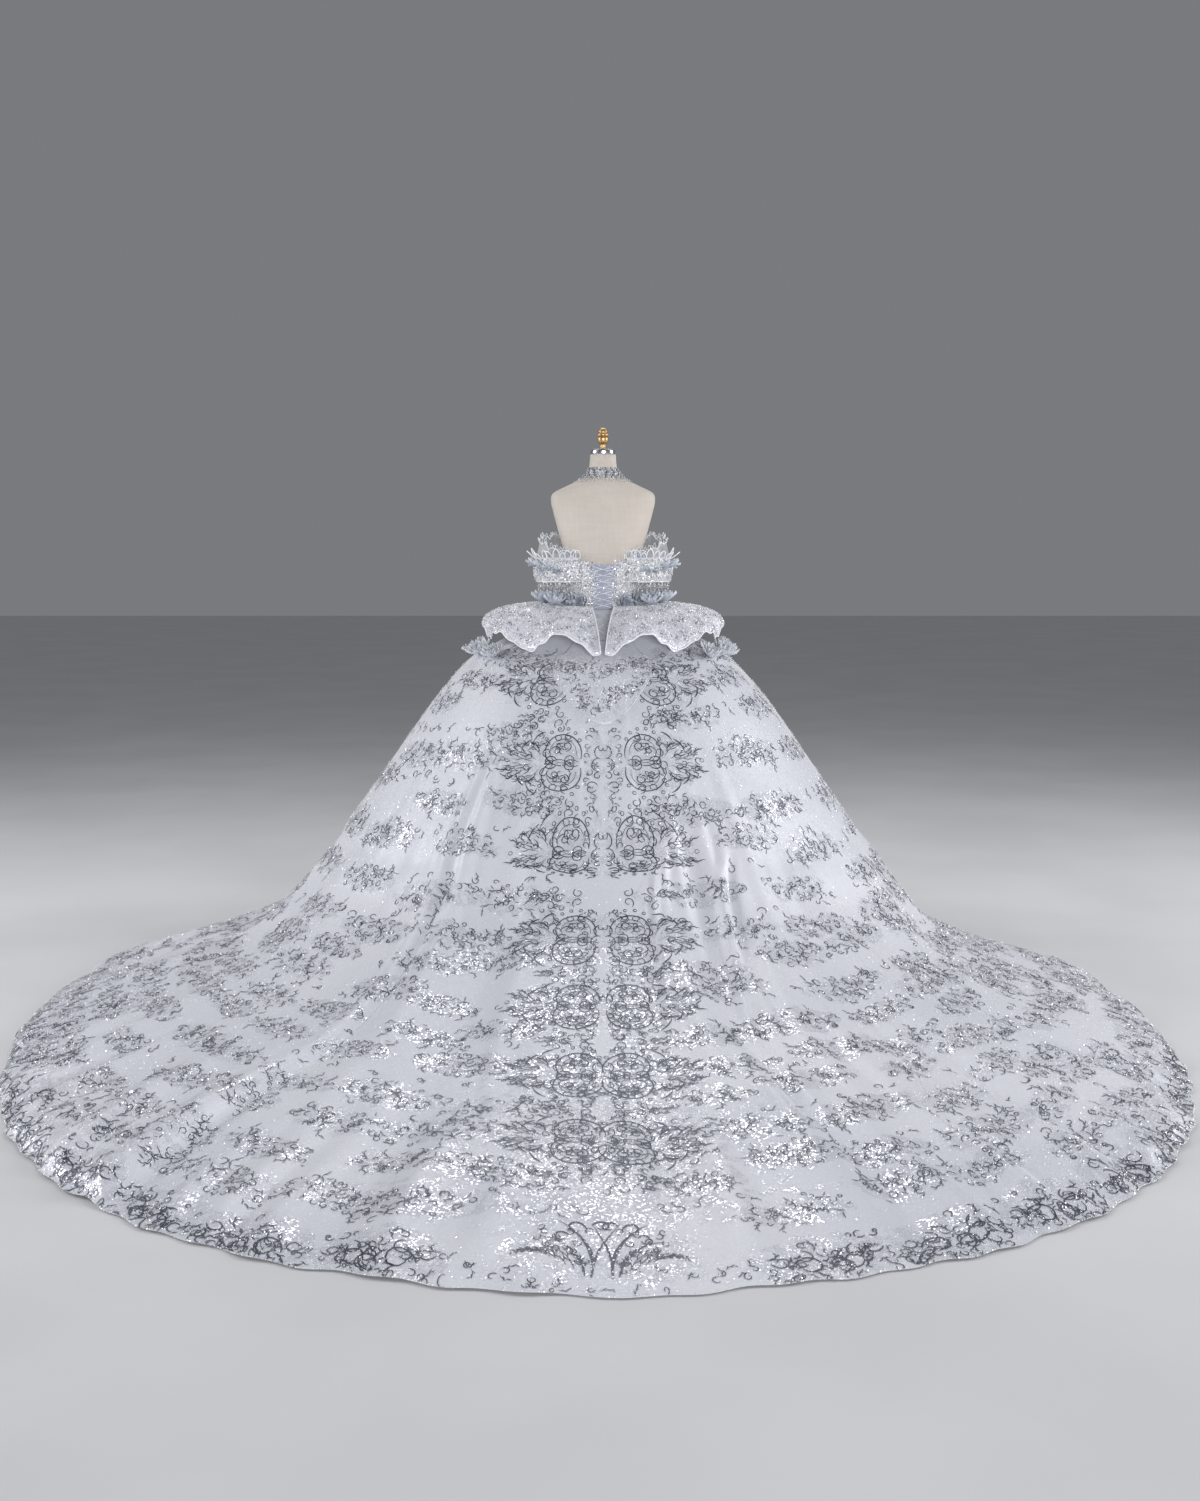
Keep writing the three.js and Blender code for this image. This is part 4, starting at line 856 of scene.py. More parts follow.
FRAME_FINISHES = {"form_pole": steel, "form_base": steel}
for node, metal in FRAME_FINISHES.items():
    for place in bpy.data.objects[node].material_slots:
        place.material = metal


# The damask's layout

LEVEL_PITCH = 0.318
FIRST_LEVEL = 0.404
SEAM_DISTANCES = [0.185, 0.150, 0.120, 0.100, 0.090, 0.082, 0.078]
COLUMN_PITCH = 0.335
HIDDEN_COLUMN_PITCH = 0.62
HIDDEN_ANGLE = 112
FIRST_COLUMN = 0.53
NEAREST_COLUMN = 0.40
LEVELS = 7
BORDER_RUN = 2.86
BORDER_PITCH = 0.31
BORDER_START = 0.5
FAN_RUN = 2.80
GLITTER_DENSITY = 9
BOUQUETS = [bouquet(seed) for seed in range(6)]
BORDERS = [border_scroll(seed) for seed in range(3)]
LOOSE_CURLS, CENTRE_CURLS, HEM_CURLS = 420, 110, 170
MEDALLION, HALF_PITCH, COLUMN, FAN = medallion(), half_pitch_scrolls(), seam_column(), hem_fan()

GORES = [
    ("skirt_front_left_side", -128, -76, 76, 120), ("skirt_side_back_left", -76, -28, 130, 170),
    ("skirt_centre_back_left", -28, 0, 80, 170), ("skirt_centre_back_right", 0, 28, 80, 170),
    ("skirt_side_back_right", 28, 76, 130, 170), ("skirt_front_right_side", 76, 128, 76, 120),
    ("skirt_front", 128, 232, 100, 90),
]


def gore_of(angle):
    whole = angle % 360
    for name, start, end, _, _ in GORES:
        if start <= angle <= end or start <= whole <= end:
            return name
    return GORES[-1][0]


work = {name: Needlework(skirt_point, 1.3) for name, *_ in GORES}
lace_spots = []


def any_bouquet(step=1):
    return BOUQUETS[int(chance.integers(len(BOUQUETS)))][::step]


def sew(strokes, angle, row, reach, size, turn, sequins, middle, strength, sequin_size):
    """Sews a motif on the skirt, with a ground of grey lace and sequins about its middle."""
    needle = work[gore_of(angle)]
    needle.place(strokes, angle, row, size, turn)
    steps = needle.frame_at(angle, row)
    spot = steps @ (np.array(middle) * size) + [angle, row]
    lace_spots.append((*spot, np.linalg.inv(steps), reach[0] * size, reach[1] * size, strength))
    shine = 1 if chance.random() < 0.6 else 2
    needle.scatter(sequins, *spot, reach[0] * size, reach[1] * size, sequin_size, shine)


for level in range(LEVELS):
    run = FIRST_LEVEL + LEVEL_PITCH * level
    row, between = row_at(run), row_at(run + LEVEL_PITCH / 2)
    for side in (-1, 1):
        turned_to = facing_left if side < 0 else list
        at = angle_at(SEAM_DISTANCES[level], row, side)
        sew(turned_to(MEDALLION), at, row, (112, 88), 1.32, 0, 120, (side * 34, 0), 0.8, 2.6)
        at = angle_at(SEAM_DISTANCES[level] - 0.055, between, side)
        sew(turned_to(HALF_PITCH), at, between, (90, 40), 1.0, 0, 60, (side * 70, 0), 0.6, 2.6)
        at = angle_at(0.012, row, side)
        sew(turned_to(COLUMN), at, row, (40, 150), 1.0, 0, 50, (side * 16, 0), 0.7, 2.6)

for half_level in range(-1, 2 * LEVELS + 1):
    level_run = FIRST_LEVEL + LEVEL_PITCH * half_level / 2
    if level_run > BORDER_RUN - 0.12:
        continue
    for side in (-1, 1):
        round_half = half_ring(row_at(level_run), side)
        pitch = COLUMN_PITCH * (1 - 0.18 * smoothstep(level_run, 1.4, 2.2))
        away = lerp(FIRST_COLUMN, NEAREST_COLUMN, min(1, level_run / 2))
        away -= 0.5 * pitch if half_level % 2 else 0
        while away < round_half - 0.1:
            spot_row = row_at(level_run + chance.normal(0, 0.024))
            at = angle_at(away + chance.normal(0, 0.035), spot_row, side)
            away += chance.uniform(0.85, 1.2) * (pitch if abs(at) < HIDDEN_ANGLE else HIDDEN_COLUMN_PITCH)
            motif = any_bouquet()
            motif = facing_left(motif) if chance.random() < 0.5 else motif
            motif = upside_down(motif) if chance.random() < 0.5 else motif
            sparkle = chance.random() ** 2 + 0.9 * smoothstep(abs(at), 16, 34)
            sequins = int((34 + 90 * sparkle) * (1 if abs(at) < HIDDEN_ANGLE else 0.4))
            sequin_size = 2.4 + 0.9 * smoothstep(spot_row, 6, 11) * sparkle
            sew(motif, at, spot_row, (168, 62), chance.uniform(0.8, 1.12), chance.normal(0, 7), sequins, (0, 0),
                0.75 + 0.25 * chance.random(), sequin_size)



def loose_curls(count, widest, runs_from, runs_over, bends, lengths, width, leaves, clear=0, sequins=0):
    """Single curls with a small sprig each, spread to both sides between two runs. The leaves
    are the sprig's place, length and width."""
    for k in range(count):
        at, spot_row = widest * (2 * (k * GOLDEN % 1) - 1), row_at(runs_from + runs_over * (k * SILVER % 1))
        if abs(at) < clear:
            continue
        stroke, bend = random_curl(chance, 0, 0, bends, lengths, 1.4, width, 8)
        x, y, length, leaf_width = leaves
        strokes = [stroke] + sprig(x, y, chance.uniform(0, 360), length, bend / 3, 4, leaf_width)
        work[gore_of(at)].place(strokes, at, spot_row)
        if sequins:
            work[gore_of(at)].scatter(sequins, at, spot_row, 90, 30, 2.4, 1)


loose_curls(LOOSE_CURLS, 100, 0.3, 2.4, (180, 330), (30, 60), 2.8, (12, 6, 34, 2.2), clear=9)
loose_curls(CENTRE_CURLS, 8.5, 1.5, 1.16, (220, 360), (34, 60), 2.5, (10, 4, 34, 2.0))
loose_curls(HEM_CURLS, 74, 2.84, 0.12, (220, 340), (28, 50), 2.6, (8, 3, 32, 2.1), sequins=14)

border_row = row_at(BORDER_RUN)
for side in (-1, 1):
    turned_to = facing_left if side < 0 else list
    for k in range(int((half_ring(border_row, side) - BORDER_START) / BORDER_PITCH) + 1):
        at = angle_at(BORDER_START + BORDER_PITCH * k, border_row, side)
        sew(turned_to(BORDERS[k % 3]), at, border_row + chance.normal(0, 0.05), (165, 88), 1.2,
            chance.normal(0, 8), int(chance.uniform(110, 300)), (0, 0), 0.85, 2.9)
    fan_row = row_at(FAN_RUN)
    sew(turned_to(FAN), angle_at(0.01, fan_row, side), fan_row, (150, 120), 1.25, 0, 460,
        (side * 80, -10), 0.6, 3.2)


def lace_amount(u, v):
    """How thick the grey lace ground is at points of the skirt."""
    amount = np.zeros_like(u)
    for at_u, at_v, steps, half_width, half_height, strength in lace_spots:
        away_u = turned(u - at_u)
        near = (np.abs(away_u) < 24) & (np.abs(v - at_v) < 1.6)
        level = (steps[0, 0] * away_u[near] + steps[0, 1] * (v[near] - at_v)) / half_width
        down = (steps[1, 0] * away_u[near] + steps[1, 1] * (v[near] - at_v)) / half_height
        inside = strength * (1 - smoothstep(np.hypot(level, down), 0.72, 1.12))
        amount[near] = np.maximum(amount[near], inside)
    centre = np.exp(-((turned(u) / 16) ** 2)) * smoothstep(v, 8.2, 9.6) * (1 - smoothstep(v, 10.9, 11.3))
    return np.clip(np.maximum(amount, 0.85 * centre), 0, 1)


GORE_ROWS = {count: np.interp(np.linspace(0, BACK_RUNS[-1], count), BACK_RUNS, BACK_ROWS)
             for count in (90, 120, 170)}
for name, start, end, columns, rows in GORES:
    angles = np.linspace(start, end, columns)
    cloth_piece(name + "_tulle", skirt_point, angles, GORE_ROWS[rows], [damask], "damask",
                [name], worn={"lace": lace_amount})
    loose = GLITTER_DENSITY * (end - start) if abs(start + end) < 2 * HIDDEN_ANGLE else 0
    for k in range(int(loose)):
        at = start + (end - start) * (k * GOLDEN % 1)
        spot_row = row_at(BACK_RUNS[-1] * chance.uniform(0.1, 0.97) ** 0.8)
        work[name].scatter(int(3 + 12 * smoothstep(abs(at), 14, 36)), at, spot_row, 70, 45, 2.4, 1 + k % 2)
    work[name].build(name + "_damask", [thread, sequin, pearl_sequin], "beading")


# Small solids

def unite(parts):
    """Points and faces of several shapes as one, with the number of each face's part."""
    points, faces, uses, first = [], [], [], 0
    for shape_points, shape_faces, use in parts:
        points.append(shape_points)
        faces.append(shape_faces + first)
        uses.append(np.full(len(shape_faces), use))
        first += len(shape_points)
    return np.vstack(points), np.vstack(faces), np.concatenate(uses)


def tube(line, radius, sides=6, closed=False):
    """A round cord along a line, as points and quads."""
    line = np.asarray(line, float)
    count = len(line)
    if closed:
        along = unit(np.roll(line, -1, 0) - np.roll(line, 1, 0))
    else:
        along = unit(np.gradient(line, axis=0))
    across = unit(np.cross(along, [0.13, 0.29, 0.94]))
    up = np.cross(across, along)
    turn = np.linspace(0, 2 * np.pi, sides, endpoint=False)
    radius = np.broadcast_to(radius, (count,))[:, None, None]
    wheel = np.cos(turn)[None, :, None] * across[:, None] + np.sin(turn)[None, :, None] * up[:, None]
    points = (line[:, None] + wheel * radius).reshape(-1, 3)
    i, k = np.meshgrid(np.arange(count if closed else count - 1), np.arange(sides), indexing="ij")
    here, beside = i * sides + k, i * sides + (k + 1) % sides
    ahead = (i + 1) % count * sides
    faces = np.stack([here, beside, ahead + (k + 1) % sides, ahead + k], -1).reshape(-1, 4)
    return points, faces


BEAD_POINTS = np.array([
    (r * math.cos((k + turn) * math.pi / 2), r * math.sin((k + turn) * math.pi / 2), z)
    for z, r, turn in ((-1, 0.0, 0), (-0.4, 0.9, 0), (0.4, 0.9, 0.5), (1, 0.0, 0)) for k in range(4)
])
BEAD_FACES = np.array([(i * 4 + k, i * 4 + (k + 1) % 4, i * 4 + 4 + (k + 1) % 4, i * 4 + 4 + k)
                       for i in range(3) for k in range(4)])


def beads(places, sizes, tall=1.0):
    """Small cut beads at places; tall stretches them upright."""
    places = np.asarray(places, float)
    sizes = np.broadcast_to(sizes, (len(places),))
    shape = BEAD_POINTS * [1, 1, tall]
    spin = chance.uniform(0, np.pi, len(places))
    cosine, sine = np.cos(spin)[:, None], np.sin(spin)[:, None]
    x = shape[None, :, 0] * cosine - shape[None, :, 1] * sine
    y = shape[None, :, 0] * sine + shape[None, :, 1] * cosine
    z = np.broadcast_to(shape[None, :, 2], x.shape)
    points = places[:, None] + np.stack([x, y, z], -1) * sizes[:, None, None]
    faces = BEAD_FACES[None] + (np.arange(len(places)) * len(shape))[:, None, None]
    return points.reshape(-1, 3), faces.reshape(-1, 4)


# The form's linen cover, cap, finial and pins

FORM_COLUMNS = 120
FORM_ANGLES = np.linspace(0, 360, FORM_COLUMNS, endpoint=False)
FORM_HEIGHTS = np.concatenate([np.linspace(1872, 1700, 36), np.linspace(1690, 1040, 44)])
points, _, _ = spread_points(form_point, FORM_ANGLES, FORM_HEIGHTS)
faces = grid_faces(FORM_COLUMNS, len(FORM_HEIGHTS), closed=True)
lids = [points.reshape(FORM_COLUMNS, -1, 3)[:, k].mean(0) for k in (0, -1)]
points = np.vstack([points, lids])
lid_faces = []
low = len(FORM_HEIGHTS) - 1
for k in range(0, FORM_COLUMNS, 2):
    first, second, third = [((k + step) % FORM_COLUMNS) * len(FORM_HEIGHTS) for step in (0, 1, 2)]
    lid_faces.append((first, second, third, len(points) - 2))
    lid_faces.append((third + low, second + low, first + low, len(points) - 1))
add_piece("form_cover", points, np.vstack([faces, lid_faces]), [linen], "linen", ["form_torso"])


def turned_piece(name, profile, forward, bottom, material, slot, stands_for):
    """A turned part from its profile of radius and height, with its corners softened."""
    profile = np.array(profile, float)
    share = np.linspace(0, len(profile) - 1, (len(profile) - 1) * 6 + 1)
    fine = np.stack([np.interp(share, np.arange(len(profile)), profile[:, axis]) for axis in (0, 1)], -1)
    fine[1:-1] = (fine[:-2] + 2 * fine[1:-1] + fine[2:]) / 4
    fine = fine[::-1]
    turn = np.linspace(0, 2 * np.pi, 64, endpoint=False)[:, None]
    points = np.stack([np.cos(turn) * fine[:, 0], forward + np.sin(turn) * fine[:, 0],
                       bottom + fine[:, 1] + 0 * turn], -1).reshape(-1, 3) * MM
    return add_piece(name, points, grid_faces(64, len(fine), closed=True), [material], slot, [stands_for])


CAP_PROFILE = [(0, 0), (44, 0), (45.5, 3), (45.5, 13), (41, 18), (14, 22), (0, 22)]
FINIAL_PROFILE = [
    (0, 0), (10, 0), (10, 14), (17, 20), (20, 28), (20, 38), (14, 44),
    (21, 46), (21, 50), (15, 53), (17, 60), (14, 68), (6, 73), (0, 74),
]
turned_piece("neck_cap_silver", CAP_PROFILE, 12, 1872.3, cap_metal, "silver", "form_neck_cap")
turned_piece("neck_finial_brass", FINIAL_PROFILE, 12, 1894.6, brass, "brass", "form_finial")

PIN_HEIGHTS, PIN_HEAD = np.array([1681.0, 1561.0]), 1.6
pins = form_point(np.zeros(2), PIN_HEIGHTS, 0.2)
add_piece("form_pin_heads", *beads(pins, PIN_HEAD * MM), [steel], "steel")


def embroider(needle, u, v, size, reach, sequins, turn_spread, turn=0, stray=0):
    """A thinned bouquet with sequins about it: how many and how large, in each shade."""
    motif = any_bouquet(2)
    at = u + chance.normal(0, stray) if stray else u
    needle.place(motif, at, v, size, turn + chance.normal(0, turn_spread))
    for shade, (count, sequin_size) in enumerate(sequins):
        needle.scatter(count, u, v, *reach, sequin_size, shade + 1)


# The bodice

BODICE_TOP = Table("angle z", [
    (0, 1480), (30, 1488), (60, 1506), (90, 1518), (120, 1540), (145, 1566), (162, 1562), (180, 1526),
])
BODICE_OUT = 4.9
MODESTY_OUT = 2.0
BODICE_PANELS = [
    ("bodice_back_left", -62, -18), ("bodice_back_right", 18, 62), ("bodice_side_left", -122, -62),
    ("bodice_side_right", 62, 122), ("bodice_front", 122, 238),
]


def bodice_point(angle, v, out=0.0):
    top = BODICE_TOP("z", np.abs(turned(np.asarray(angle, float))))
    return form_point(angle, lerp(top, WAIST_HEIGHT, v), BODICE_OUT + out)


def modesty_point(angle, v, out=0.0):
    return bodice_point(angle, lerp(0.02, 1, v), MODESTY_OUT - BODICE_OUT + out)


PANEL_ROWS = np.linspace(0, 1, 40)
bodice_work = Needlework(bodice_point, 0.8)
for name, start, end in BODICE_PANELS:
    columns = int((end - start) / 1.4)
    cloth_piece(name + "_tulle", bodice_point, np.linspace(start, end, columns), PANEL_ROWS, [beaded],
                "beading", [name])
for angle in np.arange(-172, 180, 15):
    if abs(angle) < 20:
        continue
    for v in (0.18, 0.46, 0.76):
        embroider(bodice_work, angle, v, 0.24, (36, 48), ((170, 3.0), (110, 3.0)), 25, 90, 1.5)
bodice_work.build("bodice_beadwork", [pewter_thread, sequin, pearl_sequin], "beading")

bones = []
for angle in (-160, -144, -122, -100, -80, -62, -44, -18.6, 18.6, 44, 62, 80, 100, 122, 144, 160):
    line = bodice_point(np.full(30, float(angle)), np.linspace(0.01, 0.99, 30), 0.5)
    bones.append((*tube(line, 1.3 * MM), 0))
top_edge = bodice_point(np.linspace(18.4, 341.6, 200), np.zeros(200), 0.2)
bones.append((*tube(top_edge, 1.9 * MM), 0))
add_piece("bodice_bones_and_piping", *unite(bones)[:2], [silver_thread], "beading")

cloth_piece("modesty_satin", modesty_point, np.linspace(-22, 22, 30), PANEL_ROWS, [modesty], "modesty",
            ["modesty_panel"])

# The lacing crosses over the modesty panel and runs on over the top of the skirt.
LACE_CROSSINGS, SKIRT_CROSSINGS = 7, 3
LACE_SPAN = (0.06, 0.97)
LACE_HALF_ANGLE = 15.5
LACE_LIFT = 2.7
LACE_RADIUS = 1.5


def lacing_bed(s, across, out):
    """A point over the lacing's bed: s to 1 at the waist and on to 2 down the skirt."""
    v = lerp(*LACE_SPAN, np.minimum(s, 1))
    on_bodice = bodice_point(across * LACE_HALF_ANGLE, v, MODESTY_OUT - BODICE_OUT + out)
    row = lerp(0.1, 0.62, np.maximum(s - 1, 0))
    half = np.degrees(np.arcsin(across * lerp(31, 24, np.maximum(s - 1, 0)) / SKIRT("left", row)))
    return np.where((s <= 1)[:, None], on_bodice, skirt_point(half, row, out + 1))


def lacing_line(side):
    steps = LACE_CROSSINGS + SKIRT_CROSSINGS
    count = np.linspace(0, steps, steps * 14 + 1)
    weave = 1 - 2 * np.abs(count % 2 - 1)
    below = 1 + (count - LACE_CROSSINGS) / SKIRT_CROSSINGS
    s = np.where(count <= LACE_CROSSINGS, count / LACE_CROSSINGS, below)
    hump = np.abs(np.sin(count * np.pi)) ** 2 * 1.2 * np.where(count.astype(int) % 2 == 0, side, -side)
    return lacing_bed(s, weave * side, LACE_LIFT + hump)


lacing = [(*tube(lacing_line(side), LACE_RADIUS * MM, 8), 0) for side in (-1, 1)]
eyelets = []
way = np.linspace(0, 2 * np.pi, 10, endpoint=False)
for count in range(LACE_CROSSINGS + 1):
    v = lerp(*LACE_SPAN, count / LACE_CROSSINGS)
    for side in (-1, 1):
        place = bodice_point(np.array([side * 18.8]), np.array([v]), 1.4)
        eyelets.append((*beads(place, 3.2 * MM), 1))
        loop = bodice_point(side * (17.0 + 1.5 * np.cos(way)), v + 0.018 * np.sin(way), 0.6)
        eyelets.append((*tube(loop, 1.0 * MM, 5, closed=True), 0))
lacing_points, lacing_faces, lacing_uses = unite(lacing + eyelets)
add_piece("lacing_cord", lacing_points, lacing_faces, [lace_cord, crystal], "lace_cord", ["lacing"],
          lacing_uses)


# The crystal collar

CRYSTAL_ROWS = [
    (1822, 3, 3.1, 6.6), (1815, 3.8, 3.9, 8.2), (1806.5, 4.6, 4.6, 9.6), (1797, 5.2, 3.9, 8.2),
    (1789.5, 6, 3, 6.4),
]
collar = []
for z, out, size, spacing in CRYSTAL_ROWS:
    ring_length = run_length(form_point(np.linspace(0, 360, 181), np.full(181, float(z)), out)) / MM
    angles = np.linspace(0, 360, int(ring_length / spacing), endpoint=False)
    for shade in (0, 1, 2):
        held = angles[shade::3]
        collar.append((*beads(form_point(held, np.full(len(held), float(z)), out), size * MM), shade % 2))
drop_angles = np.linspace(0, 360, 48, endpoint=False)
for k, (z, out) in enumerate(((1783, 6.2), (1778, 6.8), (1774, 7.2))):
    held = drop_angles[:: (1, 2, 2)[k]]
    collar.append((*beads(form_point(held, np.full(len(held), float(z)), out), (2.6 - 0.3 * k) * MM, 1.3), 0))
collar_band = form_point(FORM_ANGLES, np.full(FORM_COLUMNS, 1812.0), 1.6)
collar.append((*tube(collar_band, 1.2 * MM, closed=True), 0))
band_points, _, _ = spread_points(form_point, FORM_ANGLES, np.linspace(1823, 1786, 8), 1.2)
collar.append((band_points, grid_faces(FORM_COLUMNS, 8, closed=True), 2))
collar_points, collar_faces, collar_uses = unite(collar)
add_piece("collar_crystals", collar_points, collar_faces, [crystal, pewter_thread, silver_thread], "crystal",
          ["crystal_collar"], collar_uses)


# The sleeves

BAND_TOP, BAND_BOTTOM, BAND_BULGE = 1500, 1417, 9
SLEEVE_SEAT = BODICE_OUT + 0.3 + 2.5
SLEEVE_FROM, SLEEVE_TO = 33, 150
LOOP_STEPS = 401
SLEEVE_LOOP = [(120, -93), (168, -90), (214, -64), (240, -6), (220, 62), (172, 106), (120, 124)]
FRILL_TOP = Table("s z petal", [
    (0, 1516, 6), (0.25, 1522, 10), (0.5, 1556, 14), (0.75, 1572, 14), (1, 1562, 10),
])
FRILL_WAVES, FRILL_WAVE, FRILL_LEAN, FRILL_PETALS = 7, 5, -17, 9
FRINGE_FROM, FRINGE_TO, FRINGE_STRANDS = 0.12, 0.46, 9


def smooth_curve(knots, samples):
    """A centripetal curve through points, at samples evenly spaced from 0 to 1."""
    knots = np.array(knots, float)
    knots = np.vstack([2 * knots[0] - knots[1], knots, 2 * knots[-1] - knots[-2]])
    spans = len(knots) - 3
    place = np.linspace(0, spans, samples)
    i = np.minimum(place.astype(int), spans - 1)
    t = (place - i)[:, None]
    before, start, end, after = (knots[i + k] for k in range(4))
    gap0, gap1, gap2 = (np.sqrt(np.linalg.norm(b - a, axis=1))[:, None]
                        for a, b in ((before, start), (start, end), (end, after)))
    leaving = ((start - before) / gap0 - (end - before) / (gap0 + gap1) + (end - start) / gap1) * gap1
    arriving = ((end - start) / gap1 - (after - start) / (gap1 + gap2) + (after - end) / gap2) * gap1
    rise = t * t * (3 - 2 * t)
    return start * (1 - rise) + end * rise + leaving * (t**3 - 2 * t**2 + t) + arriving * (t**3 - t**2)


def sleeve_curve(height):
    ends = [form_point(np.array([float(angle)]), height, SLEEVE_SEAT)[0][:2] / MM
            for angle in (SLEEVE_FROM, SLEEVE_TO)]
    return smooth_curve([ends[0], *SLEEVE_LOOP, ends[1]], LOOP_STEPS)


LOOP_LOW, LOOP_HIGH = sleeve_curve(BAND_BOTTOM), sleeve_curve(BAND_TOP)
LOOP_SHARES = np.linspace(0, 1, LOOP_STEPS)


def sleeve_loop(s, z, out):
    """The right sleeve's loop at a height, s from its back end to its front end."""
    s, z, out = np.broadcast_arrays(np.clip(s, 0, 1), z, out)
    share = (np.clip(z, BAND_BOTTOM, BAND_TOP) - BAND_BOTTOM) / (BAND_TOP - BAND_BOTTOM)

    def at(place):
        low = [np.interp(place, LOOP_SHARES, LOOP_LOW[:, axis]) for axis in (0, 1)]
        high = [np.interp(place, LOOP_SHARES, LOOP_HIGH[:, axis]) for axis in (0, 1)]
        return np.stack([lerp(a, b, share) for a, b in zip(low, high)], -1)

    along = unit(at(s + 0.004) - at(s - 0.004))
    flat = at(s) + np.stack([along[..., 1], -along[..., 0]], -1) * out[..., None]
    return np.concatenate([flat, z[..., None]], -1) * MM


def raised(face):
    """A surface that can stand a distance in millimetres off a face."""
    def surface(u, v, out=0.0):
        u, v = np.broadcast_arrays(np.asarray(u, float), np.asarray(v, float))
        if not np.any(out):
            return face(u, v)
        return face(u, v) + directions(surface, u, v)[2] * (np.asarray(out) * MM)[..., None]
    return surface


def on_side(side, face):
    """The surface of a right-hand piece, or its mirror image on the left."""
    if side > 0:
        return raised(face)
    return raised(lambda u, v: face(1 - u, v) * [-1, 1, 1])


def band_face(s, v):
    return sleeve_loop(s, lerp(BAND_TOP, BAND_BOTTOM, v), BAND_BULGE * np.sin(v * np.pi) * np.sin(s * np.pi))


def frill_face(s, v):
    top = FRILL_TOP("z", s) + np.abs(np.sin(s * np.pi * FRILL_PETALS)) * FRILL_TOP("petal", s)
    wave = FRILL_WAVE * np.sin(s * np.pi * 2 * FRILL_WAVES)
    out = (FRILL_LEAN + wave) * (1 - v) * np.sin(np.clip(s, 0, 1) * np.pi)
    return sleeve_loop(s, lerp(top, BAND_TOP + 0.6, v), out)


PETAL_GRID = 6
STRIP_EASE = 1.15
PETAL_FACES = grid_faces(PETAL_GRID, PETAL_GRID)


def petal_grid(length, width, cup, ruffle, phase, point=0.5):
    """A petal that grows along +X from the origin and cups towards +Z."""
    along, across = np.linspace(0, 1, PETAL_GRID), np.linspace(-1, 1, PETAL_GRID)
    s, t = [part.ravel() for part in np.meshgrid(along, across, indexing="ij")]
    half = width / 2 * np.sin(np.pi * (0.12 + 0.86 * s)) ** point
    wave = ruffle * s * np.sin(5 * t + phase)
    lift = cup * s * s * length + 0.35 * width * t * t * s * (1 - 0.4 * s) + wave
    return np.stack([s * length, t * half, lift], -1), s


def standing(points, root, ahead, above):
    """Points turned so that +X goes ahead and +Z goes above, from a root."""
    ahead = unit(np.asarray(ahead, float))
    side = unit(np.cross(above, ahead))
    return root + points[:, :1] * ahead + points[:, 1:2] * side + points[:, 2:] * np.cross(ahead, side)


def spot_on(surface, u, v, out=0.0):
    """One point of a surface."""
    return surface(np.array([u]), np.array([v]), out)[0]


def outward_at(surface, u, v):
    return directions(surface, np.array([u]), np.array([v]))[2][0]


def gather(name, parts, tips, materials, slot, stands_for, unit_length):
    """One piece of many petals, with the length and width of the gathered strip that they are cut from worked
    out.
    """
    points, faces, uses = unite(parts)
    piece = add_piece(name, points, faces, materials, slot, stands_for, uses, {"tip": np.concatenate(tips)})
    strip_length = len(parts) * unit_length
    width = face_area(points, faces) / strip_length * STRIP_EASE
    declare_cloth(points, faces, strip_length, width)


def oval_loop(root, ahead, above, length, width):
    """A petal's wired outline: an oval that stands on its root."""
    way = np.linspace(0, 2 * np.pi, 22, endpoint=False)
    along, half = length * (1 - np.cos(way)), width / 2 * (1 - 0.25 * np.cos(way + np.pi))
    return standing(np.stack([along / 2, half * np.sin(way), 0.12 * along], -1), root, ahead, above)


